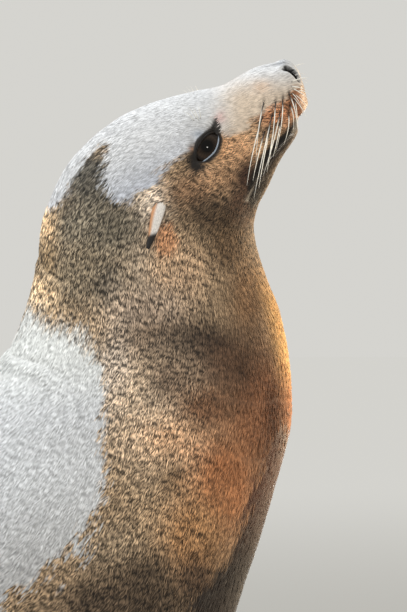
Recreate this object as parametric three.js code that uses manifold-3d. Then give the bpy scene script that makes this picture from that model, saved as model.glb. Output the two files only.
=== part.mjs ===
// A life-size California sea lion that sits up on its fore flippers, with its head raised and a little turned.
// Millimetres, +Z up, the animal faces +X and its left side is +Y. The floor is z = 0.
import * as THREE from "three";
import { mergeVertices } from "three/addons/utils/BufferGeometryUtils.js";
import Module from "manifold-3d";

const wasm = await Module();
wasm.setup();

// ---------------------------------------------------------------- driving sizes
const GAP = 0.3; // clearance between two pieces that meet
const ORIGIN = new THREE.Vector3(-400, 0, 0); // middle of the footprint, which the part's own origin stands on

// The body is a tube. Each station joins a point of the back line to the point across from it on the line of
// the throat and belly, both [x, z]. half is the half width, widest says how far down from the back the widest
// level lies, and square rounds the section: 1 is an ellipse, less is boxier.
const STATIONS = [
  { at: "nose", back: [124, 899], under: [139, 846], half: 25, widest: 0.5, square: 0.9 },
  { at: "pads", back: [99, 893], under: [139, 831], half: 36, widest: 0.6, square: 0.84 },
  { at: "muzzle", back: [69, 878], under: [122.5, 806], half: 40, widest: 0.56, square: 0.88 },
  { at: "mouth corner", back: [45, 873], under: [110, 783.5], half: 47, widest: 0.54, square: 0.92 },
  { at: "eyes", back: [24, 868], under: [100.5, 765.5], half: 56, widest: 0.53, square: 0.96 },
  { at: "cheeks", back: [0, 861], under: [96, 748], half: 65, widest: 0.53, square: 0.98 },
  { at: "ears", back: [-27, 849], under: [97, 730], half: 73, widest: 0.52, square: 1 },
  { at: "crown", back: [-55, 828], under: [101, 713], half: 79, widest: 0.5, square: 1 },
  { at: "nape", back: [-79, 800], under: [108, 692], half: 85, widest: 0.5, square: 1 },
  { at: "upper neck", back: [-98, 757], under: [120, 661], half: 92, widest: 0.5, square: 1 },
  { at: "neck", back: [-107, 706], under: [129, 615], half: 99, widest: 0.5, square: 1 },
  { at: "neck base", back: [-126, 648], under: [130, 564], half: 110, widest: 0.5, square: 1 },
  { at: "throat pit", back: [-156, 602], under: [115, 503], half: 124, widest: 0.52, square: 1 },
  { at: "shoulders", back: [-193, 558], under: [93, 432], half: 139, widest: 0.52, square: 1 },
  { at: "chest", back: [-239, 514], under: [60, 347], half: 149, widest: 0.52, square: 1 },
  { at: "brisket", back: [-294, 474], under: [-12, 250], half: 152, widest: 0.52, square: 1 },
  { at: "ribs", back: [-363, 436], under: [-140, 188], half: 148, widest: 0.52, square: 1 },
  { at: "belly", back: [-455, 388], under: [-296, 132], half: 139, widest: 0.52, square: 1 },
  { at: "flank", back: [-565, 328], under: [-452, 70], half: 127, widest: 0.52, square: 1 },
  { at: "hips", back: [-672, 262], under: [-592, 14], half: 110, widest: 0.53, square: 1 },
  { at: "rump", back: [-760, 193], under: [-702, -8], half: 88, widest: 0.55, square: 1 },
  { at: "tail root", back: [-826, 128], under: [-790, 6], half: 58, widest: 0.52, square: 1 },
  { at: "tail base", back: [-862, 92], under: [-844, 26], half: 34, widest: 0.5, square: 1 },
  { at: "tail", back: [-896, 72], under: [-888, 36], half: 24, widest: 0.5, square: 1 },
  { at: "tail tip", back: [-936, 56], under: [-934, 38], half: 12, widest: 0.5, square: 1 },
];
const NOSE_CAP = 13; // how far the rounded front of the muzzle stands out past the first station
const TAIL_CAP = 10;

// Swellings and hollows of the tube: station, angle down from the back line in degrees, reach along the body in
// stations, reach round it in degrees, and how far the skin rises.
const SWELLINGS = [
  { name: "whisker pad", station: 1.1, angle: 98, along: 0.85, round: 32, rise: 7.5 },
  { name: "side of the jaw", station: 2.1, angle: 140, along: 1.5, round: 20, rise: -4 },
  { name: "bridge of the nose", station: 2.1, angle: 52, along: 0.9, round: 26, rise: -3 },
  { name: "brow", station: 4.2, angle: 44, along: 0.7, round: 17, rise: 4 },
  { name: "hollow before the eye", station: 3.25, angle: 76, along: 0.55, round: 22, rise: -3.5 },
  { name: "eyelids", station: 4.35, angle: 72, along: 0.55, round: 15, rise: 2.5 },
  { name: "jaw muscle", station: 5.3, angle: 112, along: 0.9, round: 28, rise: 5 },
  { name: "shoulder blade", station: 13.6, angle: 72, along: 1.6, round: 34, rise: 8 },
  { name: "upper arm", station: 14.9, angle: 116, along: 1.0, round: 26, rise: 15 },
  { name: "thigh", station: 18.9, angle: 108, along: 1.1, round: 26, rise: 12 },
];

// The head's turn from the straight body: it grows from the base of the neck to the nape.
const HEAD_TURN = {
  pivot: new THREE.Vector3(-5, 0, 735),
  axis: new THREE.Vector3(0.825, 0, 0.565), // from the nape to the nose
  roll: 20, // crown towards the right side, degrees
  yaw: 10, // nose towards the right side, degrees
  starts: 560, // heights between which the neck takes up the turn
  ends: 745,
};

const EYE = { centre: [52.5, 38, 827.5], radius: 18 };
const EAR = {
  // From the root, inside the head, to the tip that hangs back and down.
  axis: [
    [14, 58, 798],
    [10, 72, 786],
    [6, 80, 775],
    [2, 86, 763],
    [-3, 90, 751],
  ],
  halfChord: [6, 7, 6.5, 4.5, 2.2],
  halfThick: [5.5, 4.5, 3.8, 3, 1.8],
  chord: [0.9, 0.1, -0.3],
};
const NOSTRIL = { centre: [133, 12.5, 891], size: [11, 3.6, 5.2], tilt: 30, splay: 10 };
// The mouth's line in the side view, from in front of the lips back to the corner, and then down out of the throat.
const MOUTH_LINE = [
  [158, 868],
  [139, 853],
  [128, 841],
  [110, 819],
  [97, 800],
  [84, 783],
];
const JAW_BELOW = [
  [110, 750],
  [150, 730],
  [200, 800],
];

// A limb runs along an axis of points [x, y, z] of the left side, with its half breadth and half thickness at
// each, and its breadth lies along the chord.
const FORE_ARM = {
  axis: [
    [-84, 70, 352],
    [-58, 108, 292],
    [-34, 137, 226],
    [-14, 156, 160],
    [-2, 168, 100],
    [4, 178, 56],
    [2, 196, 28],
    [-8, 222, 18],
  ],
  halfChord: [74, 77, 72, 63, 55, 51, 52, 50],
  halfThick: [40, 42, 36, 29, 24, 21, 18, 13],
  chord: [
    [1, -0.1, 0.25],
    [1, -0.05, 0.2],
    [1, 0, 0.15],
    [1, 0, 0.1],
    [1, 0, 0],
    [1, 0.1, 0],
    [0.93, 0.36, 0],
    [0.87, 0.5, 0],
  ],
};
const SHANK = {
  axis: [
    [-724, 44, 122],
    [-776, 66, 96],
    [-818, 84, 64],
    [-838, 92, 36],
  ],
  halfChord: [52, 46, 36, 22],
  halfThick: [52, 46, 34, 20],
  chord: [0.5, -0.87, 0],
};
const ANKLE = {
  axis: [
    [-868, 78, 22],
    [-852, 88, 24],
    [-826, 102, 26],
    [-790, 122, 24],
    [-752, 142, 18],
    [-716, 161, 13],
  ],
  halfChord: [12, 25, 32, 37, 41, 45],
  halfThick: [10, 19, 23, 21, 15, 10],
  chord: [0.47, -0.88, 0],
};
// The digits of a hand or foot fan out over the floor: along runs down the flipper, across towards digit 1.
// Each digit starts rootSpacing from the next and ends at its length, its tip so far across.
const HAND = {
  root: [-2, 200],
  along: [-0.56, 0.828],
  across: [0.828, 0.56],
  rootSpacing: 17,
  lengths: [298, 262, 218, 172, 130],
  tips: [-16, -50, -74, -86, -90],
  margin: 20, // web outside the first and last digit
  sweep: 1.7, // 1 runs straight to the tips, more bends back towards them
  notch: 0.09, // share of the length the web between two digits falls short by
  heel: 0.14, // share of the length the round heel of the hand reaches back
  thick: [28, 6],
  nails: [],
};
const FOOT = {
  root: [-768, 134],
  along: [0.885, 0.466],
  across: [0.466, -0.885],
  rootSpacing: 16,
  lengths: [236, 206, 198, 206, 240],
  tips: [76, 36, 0, -36, -76],
  margin: 14,
  sweep: 1,
  notch: 0.2,
  heel: 0.1,
  thick: [20, 4],
  nails: [1, 2, 3],
};
const WEB_THINNING = 0.55; // share of a digit's thickness that is lost in the middle of the web beside it
const EDGE_THICKNESS = 2;
const NAIL = { length: 15, halfWidth: 4, halfThick: 2.4, fromTip: 62 };

const SEGMENTS = 28; // round the body
const COLOURS = {
  coat: { color: 0x8a6a4e, roughness: 0.75, metalness: 0 },
  flipper: { color: 0x3b2c24, roughness: 0.6, metalness: 0 },
  eye: { color: 0x120b07, roughness: 0.08, metalness: 0 },
  nail: { color: 0x2a2320, roughness: 0.45, metalness: 0 },
};

// ---------------------------------------------------------------- curves and rings
const degrees = THREE.MathUtils.degToRad;
const vector = (xyz) => new THREE.Vector3(...xyz);
const curveThrough = (points) => new THREE.CatmullRomCurve3(points, false, "catmullrom");

// A number or a vector that runs smoothly through a list of values, read at a place counted in steps of the list.
function along(values) {
  const numbers = typeof values[0] === "number";
  const curve = curveThrough(values.map((v) => (numbers ? new THREE.Vector3(v, 0, 0) : vector(v))));
  return (place) => {
    const p = curve.getPoint(THREE.MathUtils.clamp(place / (values.length - 1), 0, 1));
    return numbers ? p.x : p;
  };
}

const body = {
  back: along(STATIONS.map(({ back: [x, z] }) => [x, 0, z])),
  under: along(STATIONS.map(({ under: [x, z] }) => [x, 0, z])),
  half: along(STATIONS.map((s) => s.half)),
  widest: along(STATIONS.map((s) => s.widest)),
  square: along(STATIONS.map((s) => s.square)),
};

const bell = (distance, reach) => Math.exp(-((distance / reach) ** 2));

// How far the skin stands out at a place and an angle, both sides of the body alike.
function swelling(place, angle) {
  const fromBack = THREE.MathUtils.radToDeg(Math.acos(Math.cos(angle)));
  return SWELLINGS.reduce(
    (sum, s) => sum + s.rise * bell(place - s.station, s.along) * bell(fromBack - s.angle, s.round),
    0,
  );
}

const signedPower = (value, power) => Math.sign(value) * Math.abs(value) ** power;

// One ring of the body at a place, shrunk by scale and moved along the body by shift.
function bodyRing(place, { scale = 1, shift = 0, grow = 0 } = {}) {
  const back = body.back(place);
  const under = body.under(place);
  const up = back.clone().sub(under);
  const depth = up.length();
  up.normalize();
  const forward = new THREE.Vector3(up.z, 0, -up.x);
  const widest = body.widest(place);
  const square = body.square(place);
  const centre = back.clone().addScaledVector(up, -depth * widest).addScaledVector(forward, shift);
  return Array.from({ length: SEGMENTS }, (_, k) => {
    const angle = (2 * Math.PI * k) / SEGMENTS;
    const side = signedPower(Math.sin(angle), square);
    const rise = signedPower(Math.cos(angle), square);
    const reach = depth * (rise > 0 ? widest : 1 - widest);
    const out = swelling(place, angle) + grow;
    return centre
      .clone()
      .addScaledVector(up, scale * (reach * rise + out * Math.cos(angle)))
      .add(new THREE.Vector3(0, scale * (body.half(place) * side + out * Math.sin(angle)), 0));
  });
}

// The rounded end of the body past the station at place: rings that shrink as a quarter circle does.
function endRings(place, reach, count, options) {
  return Array.from({ length: count }, (_, k) => {
    const turn = ((k + 1) / (count + 1)) * (Math.PI / 2);
    return bodyRing(place, { ...options, scale: Math.cos(turn), shift: reach * Math.sin(turn) });
  });
}

// A ring of a limb, an ellipse that is halfChord broad along chord and halfThick thick across it.
function limbRing(centre, axis, chord, halfChord, halfThick, segments) {
  const thick = new THREE.Vector3().crossVectors(axis, chord).normalize();
  const broad = new THREE.Vector3().crossVectors(thick, axis).normalize();
  return Array.from({ length: segments }, (_, k) => {
    const angle = (2 * Math.PI * k) / segments;
    return centre
      .clone()
      .addScaledVector(broad, halfChord * Math.cos(angle))
      .addScaledVector(thick, halfThick * Math.sin(angle));
  });
}

// A closed geometry through rings of equally many points. Each end is closed by strips that join a point of its
// ring to the one across from it.
function loft(rings) {
  const count = rings[0].length;
  const lastRing = (rings.length - 1) * count;
  const index = [];
  const quad = (a, b, c, d) => index.push(a, b, c, a, c, d);
  for (let k = 0; k < count; k++) {
    const next = (k + 1) % count;
    for (let r = 0; r < lastRing; r += count) quad(r + k, r + next, r + count + next, r + count + k);
  }
  for (let k = 0; k < count / 2 - 1; k++) {
    const [a, b, c, d] = [k, k + 1, count - 2 - k, count - 1 - k];
    quad(d, c, b, a);
    quad(lastRing + a, lastRing + b, lastRing + c, lastRing + d);
  }
  return new THREE.BufferGeometry().setFromPoints(rings.flat()).setIndex(index);
}

// ---------------------------------------------------------------- solids
function solid(geometry) {
  const bare = geometry.clone();
  bare.deleteAttribute("normal");
  bare.deleteAttribute("uv");
  const merged = mergeVertices(bare, 1e-3);
  const vertProperties = merged.attributes.position.array;
  const triVerts = new Uint32Array(merged.index.array);
  const made = new wasm.Manifold(new wasm.Mesh({ numProp: 3, vertProperties, triVerts }));
  if (made.volume() > 0) return made;
  return new wasm.Manifold(new wasm.Mesh({ numProp: 3, vertProperties, triVerts: triVerts.reverse() }));
}

function geometryOf(made) {
  const { vertProperties, triVerts } = made.getMesh();
  return new THREE.BufferGeometry()
    .setAttribute("position", new THREE.BufferAttribute(vertProperties, 3))
    .setIndex(new THREE.BufferAttribute(triVerts, 1));
}

// The part of the tube between two stations. Its flat ends stand half a gap inside them.
function bodyLength(from, to, ringsPerStation, grow = 0) {
  const rings = [];
  const steps = Math.round((to - from) * ringsPerStation);
  for (let k = 0; k <= steps; k++) {
    const shift = k === 0 ? -GAP / 2 : k === steps ? GAP / 2 : 0;
    rings.push(bodyRing(from + ((to - from) * k) / steps, { shift, grow }));
  }
  if (from === 0) rings.splice(0, 1, ...endRings(0, NOSE_CAP, 4, { grow }).reverse(), bodyRing(0, { grow }));
  if (to === STATIONS.length - 1) rings.splice(-1, 1, bodyRing(to, { grow }), ...endRings(to, -TAIL_CAP, 2, { grow }));
  return solid(loft(rings));
}

const aboveFloor = (() => {
  const room = new THREE.BoxGeometry(4000, 4000, 2000).translate(0, 0, 1000);
  return (made) => made.intersect(solid(room));
})();

// A limb on one side, +1 for the left and -1 for the right.
function limb({ axis, halfChord, halfThick, chord }, side, ringsPerStep, segments) {
  const toSide = ([x, y, z]) => [x, y * side, z];
  const path = along(axis.map(toSide));
  const chords = Array.isArray(chord[0]) ? along(chord.map(toSide)) : () => vector(toSide(chord));
  const [breadth, thickness] = [along(halfChord), along(halfThick)];
  const steps = (axis.length - 1) * ringsPerStep;
  const rings = Array.from({ length: steps + 1 }, (_, k) => {
    const place = k / ringsPerStep;
    const ahead = path(place + 0.05).sub(path(place - 0.05)).normalize();
    return limbRing(path(place), ahead, chords(place), breadth(place), thickness(place), segments);
  });
  return solid(loft(rings));
}

// The upper skin of a hand or foot: far is 0 at its root and 1 at the tips, and digit counts from 0, with a
// half before the first and after the last for the edges.
function fanPoint(fan, far, digit, side) {
  const last = fan.lengths.length - 1;
  const inner = THREE.MathUtils.clamp(digit, 0, last);
  const beyond = 2 * (inner - digit) * fan.margin;
  const web = Math.sin(Math.PI * digit) ** 2;
  const edge = Math.abs(digit - inner) * 2;
  const heel = far < 0 ? Math.sqrt(Math.max(0, 1 - (far / fan.heel) ** 2)) : 1;
  const reach = along(fan.lengths)(inner) * (1 - fan.notch * web) * far;
  const bend = Math.max(0, far) ** fan.sweep;
  const rootAcross = fan.rootSpacing * (last / 2 - inner);
  const wide = heel * (THREE.MathUtils.lerp(rootAcross, along(fan.tips)(inner), bend) + beyond);
  const full = THREE.MathUtils.lerp(...fan.thick, Math.max(0, far)) * (1 - WEB_THINNING * web * Math.max(0, far));
  const rounding = Math.sqrt(Math.max(0, 1 - Math.max(0, (far - 0.8) / 0.2) ** 2));
  const high = EDGE_THICKNESS + (full - EDGE_THICKNESS) * heel * rounding * Math.sqrt(1 - edge * edge);
  const [x, y] = [0, 1].map((i) => fan.root[i] + fan.along[i] * reach + fan.across[i] * wide);
  return new THREE.Vector3(x, y * side, high);
}

const WEB_COLUMNS = [0.3, 0.5, 0.7, 1]; // from one digit to the next
const FAN_ROWS = [0.25, 0.55, 0.8, 0.94, 1];

function fanSolid(fan, side) {
  const last = fan.lengths.length - 1;
  const webs = fan.lengths.slice(1).flatMap((_, digit) => WEB_COLUMNS.map((part) => digit + part));
  const columns = [-0.5, -0.35, 0, ...webs, last + 0.35, last + 0.5];
  const rows = [-0.98 * fan.heel, -0.7 * fan.heel, 0, ...FAN_ROWS];
  const rings = rows.map((far) => {
    const top = columns.map((digit) => fanPoint(fan, far, digit, side));
    const sole = top.map((p) => new THREE.Vector3(p.x, p.y, 0)).reverse();
    return [...top, ...sole];
  });
  return solid(loft(rings));
}

// A nail lies on its digit, some way back from the flap that ends it.
function nail(fan, digit, side, grow = 0) {
  const far = 1 - NAIL.fromTip / fan.lengths[digit];
  const root = fanPoint(fan, far, digit, side);
  const ahead = fanPoint(fan, far + 0.05, digit, side).sub(root).normalize();
  const chord = new THREE.Vector3(fan.across[0], fan.across[1] * side, 0);
  const rings = [0, 0.5, 1].map((u) =>
    limbRing(
      root.clone().addScaledVector(ahead, (u - 0.5) * (NAIL.length + 2 * grow)),
      ahead,
      chord,
      NAIL.halfWidth * (1 - 0.55 * u * u) + grow,
      NAIL.halfThick * (1 - 0.45 * u * u) + grow,
      8,
    ),
  );
  return solid(loft(rings));
}

function eyeball(side, grow = 0) {
  const [x, y, z] = EYE.centre;
  return solid(new THREE.SphereGeometry(EYE.radius + grow, 16, 10).rotateX(Math.PI / 2).translate(x, y * side, z));
}

function nostril(side) {
  const [x, y, z] = NOSTRIL.centre;
  const slit = new THREE.SphereGeometry(1, 8, 6).scale(...NOSTRIL.size);
  slit.rotateY(degrees(NOSTRIL.tilt)).rotateX(degrees(NOSTRIL.splay * side));
  return solid(slit.translate(x, y * side, z));
}

function ear(side, grow = 0) {
  const spec = {
    ...EAR,
    halfChord: EAR.halfChord.map((h) => h + grow),
    halfThick: EAR.halfThick.map((h) => h + grow),
  };
  return limb(spec, side, 1, 10);
}

// Everything below the mouth's line, as a slab across the whole head.
function jawRegion(away) {
  const corners = [...MOUTH_LINE, ...JAW_BELOW].map(([x, z]) => new THREE.Vector2(x + away, z - away / 2));
  const shape = new THREE.Shape(corners);
  const slab = new THREE.ExtrudeGeometry(shape, { depth: 240, bevelEnabled: false, steps: 1 });
  return solid(slab.rotateX(Math.PI / 2).translate(0, 120, 0));
}

// ---------------------------------------------------------------- the head's turn
const headQuaternion = new THREE.Quaternion()
  .setFromAxisAngle(new THREE.Vector3(0, 0, 1), degrees(-HEAD_TURN.yaw))
  .multiply(new THREE.Quaternion().setFromAxisAngle(HEAD_TURN.axis.clone().normalize(), degrees(HEAD_TURN.roll)));

function turnWithHead(geometry) {
  const position = geometry.attributes.position;
  const straight = new THREE.Quaternion();
  const p = new THREE.Vector3();
  for (let i = 0; i < position.count; i++) {
    p.fromBufferAttribute(position, i);
    const share = THREE.MathUtils.smoothstep(p.z, HEAD_TURN.starts, HEAD_TURN.ends);
    const turn = straight.clone().slerp(headQuaternion, share);
    p.sub(HEAD_TURN.pivot).applyQuaternion(turn).add(HEAD_TURN.pivot);
    position.setXYZ(i, p.x, p.y, p.z);
  }
  return geometry;
}

// ---------------------------------------------------------------- the animal
// The stations each length of the body runs between, and its rings for each of them.
const LENGTHS = {
  head: [0, 8, 2.5],
  neck: [8, 11.5, 2],
  chest: [11.5, 15, 2],
  trunk: [15, 18.5, 2],
  pelvis: [18.5, 22, 2],
  tail: [22, STATIONS.length - 1, 1],
};
const seaLion = new THREE.Group();
seaLion.name = "sea_lion";

function addNode(name, made, look, turned = false) {
  const geometry = geometryOf(made);
  if (turned) turnWithHead(geometry);
  geometry.computeVertexNormals();
  const mesh = new THREE.Mesh(geometry, new THREE.MeshStandardMaterial(COLOURS[look]));
  mesh.name = name;
  seaLion.add(mesh);
}

const sides = [
  ["left", 1],
  ["right", -1],
];

function makeHead() {
  let skull = bodyLength(...LENGTHS.head);
  for (const [, side] of sides)
    for (const hollow of [eyeball(side, GAP), ear(side, GAP), nostril(side)]) skull = skull.subtract(hollow);
  addNode("lower_jaw", skull.intersect(jawRegion(GAP)), "coat", true);
  addNode("head", skull.subtract(jawRegion(0)), "coat", true);
  for (const [label, side] of sides) {
    addNode("eye_" + label, eyeball(side), "eye", true);
    addNode("ear_" + label, ear(side), "coat", true);
  }
}

function makeLimbs() {
  const bodyRoom = bodyLength(LENGTHS.chest[0], LENGTHS.tail[0], 2, GAP);
  for (const [label, side] of sides) {
    const fore = limb(FORE_ARM, side, 1, 14).add(fanSolid(HAND, side));
    addNode("fore_flipper_" + label, aboveFloor(fore.subtract(bodyRoom)), "flipper");

    let hind = limb(SHANK, side, 1, 12).add(limb(ANKLE, side, 1, 12)).add(fanSolid(FOOT, side));
    for (const digit of FOOT.nails) hind = hind.subtract(nail(FOOT, digit, side, GAP));
    addNode("hind_flipper_" + label, aboveFloor(hind.subtract(bodyRoom)), "flipper");
    for (const digit of FOOT.nails) addNode(`hind_nail_${label}_${digit + 1}`, nail(FOOT, digit, side), "nail");
  }
}

makeHead();
for (const name of ["neck", "chest", "trunk", "pelvis", "tail"])
  addNode(name, aboveFloor(bodyLength(...LENGTHS[name])), "coat", true);
makeLimbs();

seaLion.position.copy(ORIGIN).negate();
export default seaLion;
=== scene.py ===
"""A sea lion sitting up on its fore flippers: one skin in place of the solids of flesh, a coat in tufts,
eyes, nostrils and whiskers.

Shapes are made in millimetres in the animal's own frame (it faces +X, its left is +Y, the floor is z = 0),
with the head straight, then turned with the head and moved to the row frame in metres.
"""
import math

import bpy
import numpy as np
from mathutils import Euler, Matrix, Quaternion, Vector
from mathutils.bvhtree import BVHTree
from mathutils.kdtree import KDTree


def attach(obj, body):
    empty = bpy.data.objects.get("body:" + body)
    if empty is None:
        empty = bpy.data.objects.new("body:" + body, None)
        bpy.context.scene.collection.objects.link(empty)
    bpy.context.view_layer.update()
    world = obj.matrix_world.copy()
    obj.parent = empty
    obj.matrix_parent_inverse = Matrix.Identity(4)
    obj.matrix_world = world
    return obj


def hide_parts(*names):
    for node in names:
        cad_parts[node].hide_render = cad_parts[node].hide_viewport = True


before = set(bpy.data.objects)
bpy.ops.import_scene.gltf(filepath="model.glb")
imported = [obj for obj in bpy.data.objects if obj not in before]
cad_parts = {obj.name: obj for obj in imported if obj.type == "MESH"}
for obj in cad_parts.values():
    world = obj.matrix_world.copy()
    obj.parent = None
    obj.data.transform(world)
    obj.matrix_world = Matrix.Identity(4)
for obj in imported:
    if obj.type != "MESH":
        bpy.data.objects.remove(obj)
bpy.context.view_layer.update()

RNG = np.random.default_rng(7)

# ---------------------------------------------------------------- sizes, as in the solids (mm)
ORIGIN = np.array([-400.0, 0.0, 0.0])
STATIONS = [  # back (x, z), under (x, z), half width, widest level, squareness
    ((124, 899), (139, 846), 25, 0.50, 0.90),  # nose
    ((99, 893), (137, 831.5), 36, 0.60, 0.84),  # pads
    ((69, 878), (121, 806.5), 40, 0.56, 0.88),  # muzzle
    ((45, 873), (110, 783.5), 47, 0.54, 0.92),  # mouth corner
    ((24, 868), (100.5, 765.5), 56, 0.53, 0.96),  # eyes
    ((0, 861), (96, 748), 65, 0.53, 0.98),  # cheeks
    ((-27, 849), (97, 730), 73, 0.52, 1.0),  # ears
    ((-55, 828), (101, 713), 79, 0.50, 1.0),  # crown
    ((-79, 800), (108, 692), 85, 0.50, 1.0),  # nape
    ((-98, 757), (120, 661), 92, 0.50, 1.0),  # upper neck
    ((-107, 706), (129, 615), 99, 0.50, 1.0),  # neck
    ((-126, 648), (130, 564), 110, 0.50, 1.0),  # neck base
    ((-156, 602), (115, 503), 124, 0.52, 1.0),  # throat pit
    ((-193, 558), (93, 432), 139, 0.52, 1.0),  # shoulders
    ((-239, 514), (60, 347), 149, 0.52, 1.0),  # chest
    ((-294, 474), (-12, 250), 152, 0.52, 1.0),  # brisket
    ((-363, 436), (-140, 188), 148, 0.52, 1.0),  # ribs
    ((-455, 388), (-296, 132), 139, 0.52, 1.0),  # belly
    ((-565, 328), (-452, 70), 127, 0.52, 1.0),  # flank
    ((-672, 262), (-592, 14), 110, 0.53, 1.0),  # hips
    ((-760, 193), (-702, -8), 88, 0.55, 1.0),  # rump
    ((-826, 128), (-790, 6), 58, 0.52, 1.0),  # tail root
    ((-862, 92), (-844, 26), 34, 0.50, 1.0),  # tail base
    ((-896, 72), (-888, 36), 24, 0.50, 1.0),  # tail
    ((-936, 56), (-934, 38), 12, 0.50, 1.0),  # tail tip
]
LAST = len(STATIONS) - 1
NOSE_CAP, TAIL_CAP = 13.0, 10.0
SWELLINGS = [  # station, degrees from the back, reach along, reach round, rise
    (1.1, 98, 0.85, 32, 7.5),  # whisker pad
    (2.1, 140, 1.5, 20, -4),  # side of the jaw
    (2.1, 52, 0.9, 26, -3),  # bridge of the nose
    (4.2, 44, 0.7, 17, 4),  # brow
    (3.25, 76, 0.55, 22, -3.5),  # hollow before the eye
    (4.35, 72, 0.55, 15, 2.5),  # eyelids
    (5.3, 112, 0.9, 28, 5),  # jaw muscle
    (13.6, 72, 1.6, 34, 8),  # shoulder blade
    (14.9, 116, 1.0, 26, 15),  # upper arm
    (18.9, 108, 1.1, 26, 12),  # thigh
]
HEAD_PIVOT = np.array([-5.0, 0.0, 735.0])
HEAD_AXIS = Vector((0.825, 0, 0.565)).normalized()
HEAD_ROLL, HEAD_YAW = math.radians(20), math.radians(-10)
TURN_STARTS, TURN_ENDS = 560.0, 745.0

EYE_CENTRE = np.array([52.5, 38.0, 827.5])
EYE_RADIUS = 18.0
EYE_OUT = np.array([0.04, 0.88, 0.47])
EYE_LONG = np.array([0.574, -0.405, 0.711])  # along the opening, to its front corner
TEAR_LINE = [(12, -4.5), (23, -6.5), (31.5, -9.3)]  # along and across, from inside the front corner
EYE_OPENING = (25.0, 7.4, 9.9)  # half length, and reach to the upper and the lower lid, over the eyeball
EAR = dict(
    axis=[(14, 58, 798), (10, 72, 786), (6, 80, 775), (2, 86, 763), (-3, 90, 751)],
    chord_half=[6, 7, 6.5, 4.5, 2.2],
    thick_half=[5.5, 4.5, 3.8, 3, 1.8],
    chord=(0.9, 0.1, -0.3),
)
NOSTRIL_CENTRE = np.array([133.0, 12.5, 891.0])
NOSTRIL_SIZE = (9.5, 4.2, 14.0)  # half length, half width and depth of the slit
NOSTRIL_TILT, NOSTRIL_SPLAY = math.radians(30), math.radians(10)
NOSTRIL_TURN = np.array(Euler((NOSTRIL_SPLAY, 0, 0)).to_matrix() @ Euler((0, NOSTRIL_TILT, 0)).to_matrix())
MOUTH_LINE = [(160, 867), (141, 851.5), (130.5, 838.5), (113, 815.5), (100.5, 796.5), (88, 779)]
FORE_ARM = dict(
    axis=[
        (-84, 70, 352), (-58, 108, 292), (-34, 137, 226), (-14, 156, 160),
        (-2, 168, 100), (4, 178, 56), (2, 196, 28), (-8, 222, 18),
    ],
    chord_half=[74, 77, 72, 63, 55, 51, 52, 50],
    thick_half=[40, 42, 36, 29, 24, 21, 18, 13],
    chord=[
        (1, -0.1, 0.25), (1, -0.05, 0.2), (1, 0, 0.15), (1, 0, 0.1),
        (1, 0, 0), (1, 0.1, 0), (0.93, 0.36, 0), (0.87, 0.5, 0),
    ],
)
SHANK = dict(
    axis=[(-724, 44, 122), (-776, 66, 96), (-818, 84, 64), (-838, 92, 36)],
    chord_half=[52, 46, 36, 22],
    thick_half=[52, 46, 34, 20],
    chord=(0.5, -0.87, 0),
)
ANKLE = dict(
    axis=[
        (-868, 78, 22), (-852, 88, 24), (-826, 102, 26),
        (-790, 122, 24), (-752, 142, 18), (-716, 161, 13),
    ],
    chord_half=[12, 25, 32, 37, 41, 45],
    thick_half=[10, 19, 23, 21, 15, 10],
    chord=(0.47, -0.88, 0),
)
HAND = dict(
    root=(-2, 200), along=(-0.56, 0.828), across=(0.828, 0.56), root_spacing=17,
    lengths=[298, 262, 218, 172, 130], tips=[-16, -50, -74, -86, -90],
    margin=20, sweep=1.7, notch=0.09, heel=0.14, thick=(28, 6),
)
FOOT = dict(
    root=(-768, 134), along=(0.885, 0.466), across=(0.466, -0.885), root_spacing=16,
    lengths=[236, 206, 198, 206, 240], tips=[76, 36, 0, -36, -76],
    margin=14, sweep=1, notch=0.2, heel=0.1, thick=(20, 4),
)
FOLDS = [  # station, slant, degrees from the back, reach round, depth
    (9.7, 0.2, 30, 45, 1.1),
    (10.7, -0.3, 130, 45, 1.0),
    (11.5, 0.25, 110, 50, 1.3),
    (11.2, 0.2, 20, 40, 1.3),
    (15.9, 0.9, 125, 45, 2.4),
    (16.5, 0.8, 130, 40, 2.0),
    (18.0, 0.6, 110, 40, 1.7),
    (20.2, 0.4, 60, 60, 1.6),
    (21.1, 0.4, 60, 60, 1.5),
]
WEB_THINNING = 0.55
EDGE_THICKNESS = 2.0
FAR = 99.0  # stands for a mark's value where the mark doesn't reach
EARS_ABOVE = 420.0  # the ears' joints, higher than this, stay crisp
SOFTENED = (46, 8)  # from how far to how near a limb's joint the skin is smoothed
SINK = 0.3  # how far a limb's skin lies inside its solid

# ---------------------------------------------------------------- the photograph's view
PIXEL = 0.92  # mm at the plane y = 0
FRAME_HEIGHT = 612 * PIXEL
VIEW_CENTRE_PX = (203.5, 306.0)
VIEW_CENTRE = np.array([49.2, 0.0, 673.5])
VIEW_DISTANCE = 4500.0


# ---------------------------------------------------------------- mathematics
def smoothstep(x, low, high):
    t = np.clip((np.asarray(x, float) - low) / (high - low), 0, 1)
    return t * t * (3 - 2 * t)


def bell(x, centre, width):
    return np.exp(-(((x - centre) / width) ** 2))


def circle(steps):
    """Even angles round a circle."""
    return np.linspace(0, 2 * math.pi, steps, endpoint=False)


def spot(x, y, cx, cy, rx, ry):
    return np.exp(-(((x - cx) / rx) ** 2) - ((y - cy) / ry) ** 2)


def unit(v):
    return v / np.maximum(np.linalg.norm(v, axis=-1, keepdims=True), 1e-9)


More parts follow.
